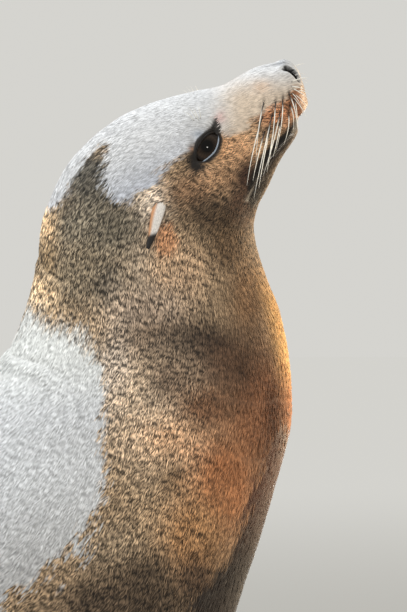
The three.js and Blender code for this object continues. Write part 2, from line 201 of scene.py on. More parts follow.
def spline(values):
    """A smooth run through values, read at a place counted in steps of the list."""
    v = np.array(values, float)
    if v.ndim == 1:
        v = v[:, None]
    ext = np.concatenate([[2 * v[0] - v[1]], v, [2 * v[-1] - v[-2]]])

    def at(place):
        place = np.clip(np.asarray(place, float), 0, len(v) - 1)
        i = np.minimum(place.astype(int), len(v) - 2)
        t = (place - i)[..., None]
        a, b, c, d = ext[i], ext[i + 1], ext[i + 2], ext[i + 3]
        squared, cubed = (2 * a - 5 * b + 4 * c - d) * t**2, (3 * b - a - 3 * c + d) * t**3
        out = 0.5 * (2 * b + (c - a) * t + squared + cubed)
        return out if out.shape[-1] > 1 else out[..., 0]

    return at


def lattice_noise(p, seed):
    """Smooth noise from 0 to 1 at the points p (n, 3)."""
    cell = np.floor(p).astype(np.int64)
    f = p - cell
    f = f * f * (3 - 2 * f)
    total = np.zeros(len(p))
    for dx in (0, 1):
        for dy in (0, 1):
            for dz in (0, 1):
                h = (cell[:, 0] + dx) * 73856093 ^ (cell[:, 1] + dy) * 19349663 ^ (cell[:, 2] + dz) * 83492791
                h = (h ^ (seed * 668265263)) & 0x7FFFFFFF
                h = ((h ^ (h >> 13)) * 1274126177) & 0x7FFFFFFF
                h = (h ^ (h >> 16)) & 0xFFFF
                w = np.where(dx, f[:, 0], 1 - f[:, 0]) * np.where(dy, f[:, 1], 1 - f[:, 1])
                total += h / 65535.0 * w * np.where(dz, f[:, 2], 1 - f[:, 2])
    return total


def line_distance(x, y, line, closed=False):
    """Distance to a polyline and the share of its length at the nearest point, for many points."""
    pts = np.array(line, float)
    if closed:
        pts = np.concatenate([pts, pts[:1]])
    seg = pts[1:] - pts[:-1]
    length = np.linalg.norm(seg, axis=1)
    start = np.concatenate([[0], np.cumsum(length)[:-1]])
    best = np.full(np.shape(x), 1e9)
    place = np.zeros(np.shape(x))
    side = np.zeros(np.shape(x))
    for a, s, n, st in zip(pts[:-1], seg, length, start):
        t = np.clip(((x - a[0]) * s[0] + (y - a[1]) * s[1]) / n**2, 0, 1)
        d = np.hypot(x - a[0] - t * s[0], y - a[1] - t * s[1])
        nearer = d < best
        best = np.where(nearer, d, best)
        place = np.where(nearer, (st + t * n) / length.sum(), place)
        side = np.where(nearer, np.sign(s[0] * (y - a[1]) - s[1] * (x - a[0])), side)
    return best, place, side


def depth_inside(x, y, outline):
    """Distance inside a closed outline, negative outside it."""
    pts = np.array(outline, float)
    odd = np.zeros(np.shape(x), bool)
    for (x0, y0), (x1, y1) in zip(pts, np.roll(pts, -1, 0)):
        crosses = (y0 > y) != (y1 > y)
        with np.errstate(divide="ignore", invalid="ignore"):
            cut = (x1 - x0) * (y - y0) / (y1 - y0) + x0
        odd ^= crosses & (x < cut)
    d = line_distance(x, y, outline, closed=True)[0]
    return np.where(odd, d, -d)


def inside(x, y, outline, soft, ragged=0.0):
    """1 inside a closed outline and 0 outside, with a soft edge, moved out and in by ragged."""
    return smoothstep(depth_inside(x, y, outline) + ragged, -soft, soft)


# ---------------------------------------------------------------- the body
BACK = spline([(b[0], 0, b[1]) for b, *_ in STATIONS])
UNDER = spline([(u[0], 0, u[1]) for _, u, *_ in STATIONS])
HALF, WIDEST, SQUARE = (spline([s[i] for s in STATIONS]) for i in (2, 3, 4))


def from_back(angle):
    """Degrees round from the middle of the back, the same on both sides."""
    return np.degrees(np.arccos(np.clip(np.cos(angle), -1, 1)))


def body_point(place, angle, grow, scale, shift):
    """Points of the tube, its section grown, then scaled and shifted forward for the rounded ends."""
    back, under = BACK(place), UNDER(place)
    up = back - under
    depth = np.linalg.norm(up, axis=-1, keepdims=True)
    up = up / depth
    depth = depth[..., 0]
    forward = np.stack([up[..., 2], np.zeros_like(depth), -up[..., 0]], -1)
    widest, square = WIDEST(place), SQUARE(place)
    side = np.sign(np.sin(angle)) * np.abs(np.sin(angle)) ** square
    rise = np.sign(np.cos(angle)) * np.abs(np.cos(angle)) ** square
    reach = depth * np.where(rise > 0, widest, 1 - widest)
    out = grow + sum(r * bell(place, s, a) * bell(from_back(angle), d, w) for s, d, a, w, r in SWELLINGS)
    centre = back - up * (depth * widest)[..., None] + forward * np.asarray(shift)[..., None]
    high = scale * (reach * rise + out * np.cos(angle))
    wide = scale * (HALF(place) * side + out * np.sin(angle))
    return centre + up * high[..., None] + np.stack([0 * wide, wide, 0 * wide], -1)


def coat_depth(place):
    """How far the skin lies inside the solids (mm)."""
    return np.interp(place, [-1, 0.5, 3, 7, 12, 16, LAST], [0.2, 0.5, 0.9, 1.3, 1.8, 2.4, 2.0])


NAPE = 9  # the station where the head's closer rings end
COLUMNS = 288
HEAD_RINGS = 230
BODY_RINGS = 260


def body_grid():
    """The tube's points, and how far along and round it each lies."""
    cap = np.linspace(88, 4, 22)  # degrees down the rounded front of the nose
    tail = np.linspace(5, 85, 8)
    tube = [np.linspace(0, NAPE, HEAD_RINGS), np.linspace(NAPE, LAST, BODY_RINGS)[1:]]
    place = np.concatenate([0 * cap, *tube, 0 * tail + LAST])
    turn = np.radians(np.concatenate([cap, np.zeros(HEAD_RINGS + BODY_RINGS - 1), tail]))
    reach = np.where(place < 1, NOSE_CAP, -TAIL_CAP)
    s, a = np.meshgrid(place, circle(COLUMNS), indexing="ij")
    t, r = (np.repeat(values[:, None], COLUMNS, 1) for values in (turn, reach))
    points = body_point(s, a, grow=-coat_depth(s), scale=np.cos(t), shift=r * np.sin(t))
    return points, s - np.where(place < 1, 1, 0)[:, None] * np.sin(t), a


def grid_normals(points):
    along = np.gradient(points, axis=0)
    round_ = np.roll(points, -1, 1) - np.roll(points, 1, 1)
    return unit(np.cross(round_, along))


EYE_SHORT = np.cross(EYE_OUT, EYE_LONG)  # points to the lower lid


def on_left(p):
    """The points, with those of the right side mirrored to the left."""
    return np.stack([p[..., 0], np.abs(p[..., 1]), p[..., 2]], -1)


def eye_local(p):
    """Along the opening and across it towards the lower lid, measured over the eyeball and on beyond it."""
    q = on_left(p) - EYE_CENTRE
    beyond = np.maximum(np.linalg.norm(q, axis=-1) - EYE_RADIUS - 3, 0)
    q = unit(q)
    along, across = q @ EYE_LONG, q @ EYE_SHORT
    arc = EYE_RADIUS * np.arccos(np.clip(q @ EYE_OUT, -1, 1)) + beyond
    arc = arc / np.maximum(np.hypot(along, across), 1e-6)
    return along * arc, across * arc


def eye_opening(along, across):
    """1 on the edge of the lids, less inside the opening."""
    long_, upper, lower = EYE_OPENING
    short = np.where(across < 0, upper, lower)
    return np.abs(along / long_) ** 1.5 + np.abs(across / short) ** 1.3


def shape_head(points, place, angle, normals):
    """Presses the head's features into the plain tube and returns the marks that colour them."""
    side = np.where(points[..., 1] < 0, -1.0, 1.0)
    marks = {}

    def press(depth):
        nonlocal points
        points = points - normals * depth[..., None]

    # Eyelids: inside the opening the skin goes behind the eyeball, and around it it lies on the ball.
    along, across = eye_local(points)
    reach = np.hypot(along, across)
    near = (place > 1.5) & (place < 7.5) & (reach < 42)
    edge = np.where(near, eye_opening(along, across), FAR)
    centre = EYE_CENTRE * np.stack([1 + 0 * side, side, 1 + 0 * side], -1)
    ray = points - centre
    radius = np.linalg.norm(ray, axis=-1)
    ray = ray / np.maximum(radius, 1e-6)[..., None]
    lid = EYE_RADIUS + 1.2 + 0.5 * np.clip(edge - 1, 0, 3)
    hugging = smoothstep(edge, 3.4, 1.3) * smoothstep(reach, 40, 26)
    fold = -1.2 * bell(edge, 1.95, 0.2) - 0.8 * bell(edge, 2.6, 0.22) * (across < 2)
    brow_side = 1.3 * bell(edge, 1.3, 0.35) * smoothstep(across, 2, -6)
    wanted = radius + (lid - radius) * hugging + (fold + brow_side) * smoothstep(reach, 40, 28)
    wanted = np.where(edge < 1.25, np.maximum(wanted, lid), wanted)
    wanted = np.maximum(wanted, EYE_RADIUS + 1.0)
    behind = smoothstep(edge, 1.08, 0.92)
    wanted = wanted * (1 - behind) + (EYE_RADIUS - 3.0) * behind
    points = np.where(near[..., None], centre + ray * wanted[..., None], points)
    marks["eye"] = edge * (1 - 0.2 * smoothstep(across, 3, -4))
    tear_line, share, _ = line_distance(along, across, TEAR_LINE)
    tear_line = np.where(near, tear_line - 4.2 * (1 - share) ** 0.8, FAR)
    marks["tear"] = np.maximum(tear_line, 0)
    press(0.9 * bell(marks["tear"], 0, 1.3))

    # Folds of the skin.
    away = from_back(angle)
    for station, slant, middle, reach, depth in FOLDS:
        line = station + slant * (away - middle) / 90 + 0.05 * np.sin(away / 9)
        fade = smoothstep(np.abs(away - middle), reach, reach * 0.4)
        press(-depth * (0.55 * bell(place - line, 0.22, 0.14) - bell(place, line, 0.07)) * fade)

    # Nostrils: slits sunk into the front of the nose, each with a raised rim.
    ahead, wide, deep = np.moveaxis((on_left(points) - NOSTRIL_CENTRE) @ NOSTRIL_TURN, -1, 0)
    bent = wide - 1.2 * (ahead / 10) ** 2
    slit = sum((value / size) ** 2 for value, size in zip((ahead, bent, deep), NOSTRIL_SIZE))
    slit = np.where(place < 1.2, slit, FAR)
    press(12.0 * smoothstep(slit, 1.05, 0.55))
    press(-1.5 * bell(np.sqrt(slit), 1.35, 0.28))
    marks["nostril"] = slit

    # A groove runs down the middle of the nose to the lip.
    marks["groove"] = bell(points[..., 1], 0, 2.6) * smoothstep(place, 1.0, 0.2)
    press(2.2 * marks["groove"])

    # The mouth: lips part along a line, the upper one over the lower.
    gap, share, below = line_distance(points[..., 0], points[..., 2], MOUTH_LINE)
    here = (place < 5) & (share < 0.995)
    gap = np.where(here, gap, FAR)
    fading = smoothstep(share, 1.0, 0.7)
    above = -gap * below
    press(3.0 * bell(gap, 0, 1.6) * fading)
    press(-1.4 * bell(above, 4.5, 3.5) * fading)
    press(1.6 * bell(above, -4.5, 4.0) * fading)
    marks["mouth"] = gap
    marks["mouth_side"] = np.where(here, above, FAR)
    marks["mouth_start"] = np.where(here, smoothstep(share, 0.98, 0.55), 0.0)
    marks["aside"] = np.where(place < 7, np.abs(points[..., 1]), FAR)
    return points, marks


HEAD_TURN = Quaternion((0, 0, 1), HEAD_YAW) @ Quaternion(HEAD_AXIS, HEAD_ROLL)


def turn_with_head(p):
    """The turn of the head fades out down the neck."""
    axis, angle = np.array(HEAD_TURN.axis), HEAD_TURN.angle
    shape = p.shape
    p = p.reshape(-1, 3)
    q = p - HEAD_PIVOT
    turn = (angle * smoothstep(p[:, 2], TURN_STARTS, TURN_ENDS))[:, None]
    q = q * np.cos(turn) + np.cross(axis, q) * np.sin(turn) + axis * (q @ axis)[:, None] * (1 - np.cos(turn))
    return (q + HEAD_PIVOT).reshape(shape)


def straighten_head(p):
    """Undoes the turn, for points of the head itself."""
    return (p - HEAD_PIVOT) @ np.array(HEAD_TURN.inverted().to_matrix()).T + HEAD_PIVOT


# ---------------------------------------------------------------- limbs
def limb_grid(spec, side, rings, columns, shrink=SINK):
    """Rings of a limb from its root to its end, and the place round each."""
    mirror = np.array([1, side, 1])
    path = spline(np.array(spec["axis"]) * mirror)
    steps = len(spec["axis"]) - 1
    chord = spline(np.broadcast_to(np.array(spec["chord"], float) * mirror, (steps + 1, 3)))
    place = np.linspace(0, steps, rings)
    ahead = unit(path(np.minimum(place + 0.05, steps)) - path(np.maximum(place - 0.05, 0)))
    thick = unit(np.cross(ahead, chord(place)))
    broad = unit(np.cross(thick, ahead))
    angle = circle(columns)
    wide = (spline(spec["chord_half"])(place) - shrink)[:, None, None]
    high = (spline(spec["thick_half"])(place) - shrink)[:, None, None]
    ring = broad[:, None] * wide * np.cos(angle)[None, :, None]
    ring = ring + thick[:, None] * high * np.sin(angle)[None, :, None]
    return path(place)[:, None] + ring, place / steps, angle


def fan_grid(fan, side, rows, per_digit):
    """The top and sole of a webbed hand or foot: far runs along the digits and digit across them."""
    last = len(fan["lengths"]) - 1
    digit = np.linspace(-0.5, last + 0.5, per_digit * (last + 1) + 1)
    heel_rows = -fan["heel"] * 0.985 * (1 - np.linspace(0, 1, rows // 5)[:-1] ** 1.5)
    tip_rows = 0.8 + 0.2 * np.sin(np.linspace(0, math.pi / 2, rows // 3))
    far = np.concatenate([heel_rows, np.linspace(0, 0.8, rows // 2)[:-1], tip_rows])
    far, digit = np.meshgrid(far, digit, indexing="ij")
    inner = np.clip(digit, 0, last)
    beyond = 2 * (inner - digit) * fan["margin"]
    web = np.sin(math.pi * digit) ** 2
    edge = np.abs(digit - inner) * 2
    heel = np.where(far < 0, np.sqrt(np.clip(1 - (far / fan["heel"]) ** 2, 0, 1)), 1.0)
    reach = spline(fan["lengths"])(inner) * (1 - fan["notch"] * web) * far
    ahead = np.clip(far, 0, None)
    root_across = fan["root_spacing"] * (last / 2 - inner)
    wide = root_across + (spline(fan["tips"])(inner) - root_across) * ahead ** fan["sweep"]
    wide = heel * (wide + beyond)
    full = (fan["thick"][0] + (fan["thick"][1] - fan["thick"][0]) * ahead) * (1 - WEB_THINNING * web * ahead)
    rounding = np.sqrt(np.clip(1 - (np.clip(far - 0.8, 0, None) / 0.2) ** 2, 0, 1))
    swell = heel * rounding * np.sqrt(np.clip(1 - edge**2, 0, 1))
    high = EDGE_THICKNESS + (full - EDGE_THICKNESS) * swell - SINK
    x, y = (fan["root"][i] + fan["along"][i] * reach + fan["across"][i] * wide for i in (0, 1))
    top = np.stack([x, y * side, high], -1)
    sole = np.stack([x, y * side, 0 * high], -1)
    return np.concatenate([top, sole[:, ::-1]], 1), far[:, 0], np.concatenate([digit[0], digit[0, ::-1]])


# ---------------------------------------------------------------- meshes
def grid_faces(rings, columns):
    """Quads between neighbouring rings, each ring closed."""
    r, c = np.meshgrid(np.arange(rings - 1), np.arange(columns), indexing="ij")
    n = (c + 1) % columns
    quads = np.stack([r * columns + c, r * columns + n, (r + 1) * columns + n, (r + 1) * columns + c], -1)
    return quads.reshape(-1, 4)


def end_faces(rings, columns):
    """Triangles from each end ring to a point added at its middle."""
    c = np.arange(columns)
    n = (c + 1) % columns
    first, last, base = rings * columns, rings * columns + 1, (rings - 1) * columns
    ends = [np.stack([n, c, 0 * c + first], -1), np.stack([base + c, base + n, 0 * c + last], -1)]
    return np.concatenate(ends)


def closed_mesh(grid):
    """Points, quads and triangles of a grid of rings with a fan over each end."""
    rings, columns = grid.shape[:2]
    points = np.concatenate([grid.reshape(-1, 3), [grid[0].mean(0)], [grid[-1].mean(0)]])
    return points, grid_faces(rings, columns), end_faces(rings, columns)


def make_mesh(name, points_mm, quads=None, tris=None):
    """A mesh object from points in mm, with smooth shading."""
    points = (points_mm - ORIGIN) * 0.001
    parts = [f for f in (quads, tris) if f is not None and len(f)]
    loops = np.concatenate([f.reshape(-1) for f in parts]).astype(np.int32)
    sizes = np.concatenate([np.full(len(f), f.shape[1]) for f in parts]).astype(np.int32)
    starts = np.concatenate([[0], np.cumsum(sizes)[:-1]]).astype(np.int32)
    mesh = bpy.data.meshes.new(name)
    mesh.vertices.add(len(points))
    mesh.vertices.foreach_set("co", points.astype(np.float32).reshape(-1))
    mesh.loops.add(len(loops))
    mesh.loops.foreach_set("vertex_index", loops)
    mesh.polygons.add(len(sizes))
    mesh.polygons.foreach_set("loop_start", starts)
    mesh.polygons.foreach_set("use_smooth", np.ones(len(sizes), bool))
    mesh.update(calc_edges=True)
    obj = bpy.data.objects.new(name, mesh)
    bpy.context.scene.collection.objects.link(obj)
    return obj


def read(items, key, width=1, dtype=np.float32):
    """An array of one property of all the items of a mesh's collection."""
    values = np.empty(len(items) * width, dtype)
    items.foreach_get(key, values)
    return values.reshape(-1, width) if width > 1 else values


def tree_of(points):
    """A tree that finds the nearest of the points."""
    tree = KDTree(len(points))
    for i, p in enumerate(points.tolist()):
        tree.insert(p, i)
    tree.balance()
    return tree


def outward(name, grid):
    """A closed object of a grid whose faces point out."""
    points, quads, tris = closed_mesh(grid)
    centre = points.mean(0)
    a, b, c = points[quads[:, 0]] - centre, points[quads[:, 1]] - centre, points[quads[:, 2]] - centre
    if np.einsum("ij,ij->i", np.cross(a, b), c).sum() < 0:
        quads, tris = quads[:, ::-1], tris[:, ::-1]
    return make_mesh(name, points, quads, tris)


def joined(base, others):
    """base with the others joined to it in one closed surface."""
    for other in others:
        step = base.modifiers.new("join", "BOOLEAN")
        step.operation = "UNION"
        step.object = other
        step.solver = "MANIFOLD"
        depsgraph = bpy.context.evaluated_depsgraph_get()
        mesh = bpy.data.meshes.new_from_object(base.evaluated_get(depsgraph))
        base.modifiers.clear()
        old = base.data
        base.data = mesh
        bpy.data.meshes.remove(old)
        bpy.data.objects.remove(other)
    return base


BODY, ARM, PALM, LEG, SOLE, EARLOBE = range(6)
sources = []


def add_source(kind, grid, place, angle):
    """Keeps a part's points with their kind and place, so that the joined skin can be told by them."""
    along = unit(np.gradient(grid, axis=0))
    sources.append(
        dict(
            points=grid.reshape(-1, 3),
            along=along.reshape(-1, 3),
            kind=np.full(grid.shape[0] * grid.shape[1], kind),
            place=np.broadcast_to(place, grid.shape[:2]).reshape(-1),
            angle=np.broadcast_to(angle, grid.shape[:2]).reshape(-1),
        )
    )


body, body_place, body_angle = body_grid()
body, marks = shape_head(body, body_place, body_angle, grid_normals(body))
# Slow undulations of the flesh under the skin.
waves = lattice_noise(body.reshape(-1, 3) / 75, 3).reshape(body.shape[:2]) - 0.5
body = body - grid_normals(body) * (np.clip(-2.4 * waves, 0, None) * smoothstep(body_place, 7, 11))[..., None]
add_source(BODY, body, body_place, body_angle)
skin = outward("skin", body)

pieces = []
for side in (1, -1):
    arm, place, angle = limb_grid(FORE_ARM, side, 110, 72)
    add_source(ARM, arm, place[:, None], angle[None])
    pieces.append(outward("arm", arm))
    hand, far, digit = fan_grid(HAND, side, 70, 12)
    add_source(PALM, hand, far[:, None], digit[None])
    pieces.append(outward("hand", hand))
    for spec, reach in ((SHANK, 0.0), (ANKLE, 0.5)):
        leg, place, angle = limb_grid(spec, side, 60, 48)
        add_source(LEG, leg, reach + 0.5 * place[:, None], angle[None])
        pieces.append(outward("leg", leg))
    foot, far, digit = fan_grid(FOOT, side, 70, 12)
    add_source(SOLE, foot, far[:, None], digit[None])
    pieces.append(outward("foot", foot))
    ear, place, angle = limb_grid(EAR, side, 40, 28, shrink=0.2)
    # The ear is a rolled leaf: a furrow runs down its front edge.
    to_front = np.angle(np.exp(1j * angle))
    furrow = bell(to_front, 0, 0.55)[None] * smoothstep(place, 0.1, 0.4)[:, None]
    middle = ear.mean(1, keepdims=True)
    ear = ear + (middle - ear) * (0.55 * furrow)[..., None]
    add_source(EARLOBE, ear, place[:, None], angle[None])
    pieces.append(outward("ear", ear))
skin = joined(skin, pieces)

# ---------------------------------------------------------------- what each point of the skin is
source = {key: np.concatenate([s[key] for s in sources]) for key in sources[0]}
off_body = np.full(len(source["kind"]) - body_place.size, FAR)
mark = {key: np.concatenate([value.reshape(-1), off_body]) for key, value in marks.items()}
mark["groove"][source["kind"] != BODY] = 0

count = len(skin.data.vertices)
straight = read(skin.data.vertices, "co", 3).astype(float) * 1000 + ORIGIN

tree = tree_of(source["points"])
nearest = np.array([tree.find(p)[1] for p in straight.tolist()])

kind, place, angle = source["kind"][nearest], source["place"][nearest], source["angle"][nearest]
lie = source["along"][nearest]
mark = {key: value[nearest] for key, value in mark.items()}

# Soften the crease where a limb leaves the body.
edges = read(skin.data.edges, "vertices", 2, np.int32)
crosses = kind[edges[:, 0]] != kind[edges[:, 1]]
rim = np.unique(edges[crosses])
rim_tree = tree_of(straight[rim])
to_rim = np.full(count, 1e3)
for i in np.nonzero(straight[:, 2] < EARS_ABOVE)[0]:
    to_rim[i] = rim_tree.find(straight[i].tolist())[2]
soften = smoothstep(to_rim, *SOFTENED)[:, None]
degree = np.bincount(edges.reshape(-1), minlength=count)[:, None]


def neighbour_mean(values):
    """The mean of each point's neighbours along the skin's edges."""
    total = np.zeros_like(values)
    for k in range(values.shape[1]):
        total[:, k] = np.bincount(edges[:, 0], values[edges[:, 1], k], count)
        total[:, k] += np.bincount(edges[:, 1], values[edges[:, 0], k], count)
    return total / np.maximum(degree, 1)


for _ in range(150):  # rounds of smoothing
    straight = straight + soften * 0.8 * (neighbour_mean(straight) - straight)
for _ in range(6):
    lie = lie + soften * (neighbour_mean(lie) - lie)
lie = unit(lie)

posed = turn_with_head(straight)
posed[:, 2] = np.maximum(posed[:, 2], 0)
lie = unit(turn_with_head(straight + lie) - turn_with_head(straight))
skin.data.vertices.foreach_set("co", ((posed - ORIGIN) * 0.001).astype(np.float32).reshape(-1))
skin.data.update()
normals = read(skin.data.vertices, "normal", 3).astype(float)


# ---------------------------------------------------------------- markings and painted light
def photo_place(p):
    """Where points land in the photograph (pixels)."""
    k = VIEW_DISTANCE / (VIEW_DISTANCE + p[:, 1])
    x = VIEW_CENTRE_PX[0] + (p[:, 0] - VIEW_CENTRE[0]) * k / PIXEL
    y = VIEW_CENTRE_PX[1] - (p[:, 2] - VIEW_CENTRE[2]) * k / PIXEL
    return x, y


def right_side_place(p_straight):
    """The photograph's place of a point, or of its mirror point on the right: both sides are marked alike."""
    mirrored = p_straight * np.array([1, 0, 1]) + np.array([0, -1, 0]) * np.abs(p_straight)
    return photo_place(turn_with_head(mirrored))


def linear(r, g, b):
    """A colour as the photograph shows it (0 to 255), in linear light."""
    c = np.array([r, g, b], float) / 255
    return np.where(c > 0.04045, ((c + 0.055) / 1.055) ** 2.4, c / 12.92)


# Outlines in photograph pixels.
WET_HEAD_PAINTED_SHEEN = [
    (307, 68), (302, 84), (293, 91), (284, 98), (275, 104), (262, 115), (247, 125), (233, 132), (225, 134),
    (220, 130), (215, 127), (208, 132), (201, 138), (195, 145), (189, 152), (181, 159), (171, 166),
    (162, 177),
    (155, 190), (143, 192), (132, 200), (119, 200), (110, 192), (107, 172), (111, 158), (105, 147), (94, 155),
    (83, 168), (71, 185), (58, 204), (40, 210), (30, 160), (100, 90), (150, 60), (210, 50), (262, 40),
    (290, 40), (309, 56),
]
WET_SHOULDER_PAINTED_SHEEN = [
    (-60, 325), (4, 335), (28, 308), (46, 314), (66, 327), (88, 342), (103, 358), (108, 402), (104, 450),
    (107, 488), (97, 508), (86, 524), (84, 540), (70, 556), (56, 570), (40, 582), (18, 597), (2, 614),
    (-100, 652),
    (-220, 690), (-330, 712), (-430, 732), (-510, 745), (-570, 748), (-600, 700), (-300, 420),
]
WET_CHEST = [
    (280, 424), (270, 446), (262, 466), (251, 492), (243, 520), (231, 552), (214, 577), (194, 592),
    (186, 640),
    (160, 760), (200, 800), (330, 700), (330, 424),
]
# Painted shadow under the whisker pads.
LIP_SHADOW = [
    (300, 118), (298, 130), (294, 146), (286, 162), (276, 180), (264, 204), (251, 205), (248, 190),
    (252, 173),
    (257, 161), (265, 150), (275, 141), (286, 130), (295, 119),
]
THROAT_LINE = [(243, 196), (250, 222), (258, 256), (272, 300), (284, 345), (291, 385), (293, 425), (286, 470)]
EAR_PATCH = [(158, 226), (166, 220), (174, 222), (180, 236), (174, 250), (162, 252), (156, 240)]
EYE_SHADOW = [(197, 150), (193, 143), (189, 150), (187, 162), (189, 173), (196, 175), (204, 169)]
# Painted shade along the upper lid and at the rear corner of the eye.
UPPER_LID_SHADE = [
    (217.2, 117.5), (219.5, 122), (221, 128), (221.5, 136), (214, 137), (207, 139), (200, 145), (197, 151),
    (194, 151), (194.6, 144), (200, 136.5), (207, 130.5), (212.5, 126),
]
EYE_CORNER_SHADE = [
    (197, 149), (192, 152), (188, 155), (188, 162), (191, 168), (196, 171), (202, 170), (208, 166),
    (200, 163),
]
# By photograph row: how strong the painted amber rim light along the throat is, and how ragged and how soft
# (px) the edges of the wet patches are. The fringe of the wet head goes by the distance from the eye instead.
THROAT_RIM_LIGHT_STRENGTH = ([200, 240, 300, 400, 450, 480], [0.2, 0.85, 0.9, 0.9, 0.5, 0])
SHOULDER_FRINGE = ([320, 360, 480, 560, 740], [14, 7, 10, 19, 42])
SHOULDER_SOFTNESS = ([335, 368], [15, 4])
CHEST_FRINGE = ([425, 480, 590, 660], [22, 6, 6, 30])
FRINGE_BY_EYE = ([15, 45], [2, 8])
# Small soft spots of the face, some of them painted shade: x, y, half sizes, colour, strength.
FACE_SPOTS = [
    (221, 117, 5, 6, (226, 180, 176), 0.6),  # pink skin shows above the front of the eye
    (199, 134, 7, 5, (166, 178, 194), 0.6),  # bluish shade on the upper lid
    (191.5, 148.5, 2.2, 3, (130, 86, 58), 0.7),  # brown behind the eye
    (262, 86, 9, 6, (222, 184, 150), 0.5),  # peach on the side of the muzzle
    # Painted shade in the hollow between the nostrils.
    (280, 63, 6, 2.5, (150, 158, 170), 0.6),  # hollow between the nostrils
]
# Soft patches of the coat, some of them painted shade: x, y, half sizes, colour.
PATCHES = [
    # The dark patch behind the crown, the neck, and the golden nape.
    (95, 180, 32, 36, (84, 80, 72)), (95, 225, 52, 34, (122, 113, 98)), (82, 270, 38, 34, (132, 118, 98)),
    (124, 224, 22, 18, (104, 96, 82)), (112, 280, 16, 24, (112, 102, 88)), (47, 250, 10, 26, (128, 108, 82)),
    (46, 218, 11, 20, (214, 184, 146)), (43, 288, 13, 17, (220, 192, 156)),
    # Behind the ear, below it, and the middle of the neck.
    (146, 270, 17, 34, (166, 152, 134)), (176, 266, 28, 27, (202, 170, 138)),
    (156, 200, 15, 20, (214, 198, 180)),
    (150, 306, 40, 26, (166, 146, 127)),
    # The edge of the pale shoulder, the cheek and the dark throat.
    (120, 375, 18, 48, (182, 168, 154)), (196, 190, 26, 18, (138, 108, 82)), (216, 212, 32, 18, (84, 68, 52)),
    # Round the eye, the lips and the front of the nose.
    (236, 150, 26, 22, (202, 160, 122)), (222, 176, 24, 12, (164, 130, 99)),
    (276, 112, 18, 14, (206, 146, 106)),
    (296, 104, 10, 18, (156, 104, 72)),
    # The jaw and the throat under it.
    (242, 206, 14, 24, (80, 58, 43)), (248, 176, 10, 18, (66, 46, 35)), (229, 242, 21, 24, (102, 82, 61)),
    (248, 290, 18, 34, (146, 113, 82)),
    # The reddish front of the chest, and the dark band across the neck: painted shade in the fold there.
    (258, 404, 36, 66, (142, 96, 66)), (158, 334, 30, 20, (112, 94, 78)), (202, 342, 42, 24, (60, 48, 38)),
    (226, 366, 30, 26, (96, 70, 51)), (272, 405, 9, 34, (96, 60, 38)),
    # The pale side of the chest.
    (152, 410, 42, 52, (200, 177, 151)), (176, 374, 26, 22, (132, 112, 93)),
    (182, 436, 36, 22, (214, 176, 140)),
    (210, 402, 32, 19, (116, 87, 65)), (177, 474, 14, 11, (142, 120, 94)),
    # The chest, orange in front, and darker below: painted shade under the chest.
    (108, 540, 40, 26, (154, 134, 110)), (226, 480, 32, 52, (178, 120, 80)),
    (196, 535, 30, 44, (172, 130, 90)),
    (148, 572, 30, 24, (92, 77, 61)), (198, 576, 22, 24, (92, 70, 52)), (130, 600, 80, 32, (80, 66, 52)),
]
BASE_COAT = linear(160, 136, 108)
# Painted sheen of the wet head: pale colours for the sky reflected in wet fur.
PAINTED_SHEEN_WHITE = linear(214, 215, 217)
PAINTED_SHEEN_BLUE = linear(182, 187, 200)
PAINTED_SHEEN_WARM = linear(212, 194, 174)
# Painted sheen of the wet shoulder.
SHOULDER_PAINTED_SHEEN_PALE = linear(220, 222, 220)
SHOULDER_PAINTED_SHEEN_GREY = linear(205, 207, 210)
SHOULDER_PAINTED_SHEEN_LOW = linear(176, 176, 177)
WET_BROWN = linear(84, 42, 20)
WET_BROWN_PAINTED_SHADE = linear(34, 23, 15)
BLACK_SKIN = linear(24, 19, 16)
LIP_BLACK_AND_SHADOW = linear(12, 8, 6)
JAW_BROWN = linear(38, 27, 20)
EYE_SHADOW_BROWN = linear(50, 36, 28)
GROOVE_SHADE_GREY = linear(84, 84, 92)
FOLLICLE = linear(46, 33, 26)
FLIPPER_SKIN = linear(58, 46, 38)
EAR_PALE = linear(228, 222, 216)
EAR_EDGE = linear(205, 150, 108)
EAR_ORANGE = linear(192, 136, 96)
EAR_FURROW_SHADE = linear(120, 92, 70)
# Painted rim light along the throat.
THROAT_RIM_LIGHT_AMBER = linear(240, 184, 110)
THROAT_RIM_LIGHT_ORANGE = linear(206, 128, 72)
FLANK_BACK = linear(126, 103, 79)
FLANK_UNDER = linear(160, 124, 88)
LIMB_COAT = linear(112, 86, 64)


def blend(colour, target, weight):
    """Moves each point's colour towards one target colour."""
    return colour + (target - colour) * weight[:, None]


def between(a, b, weight):
    """One colour for each weight, from a to b."""
    return a[None] + (b - a)[None] * weight[:, None]


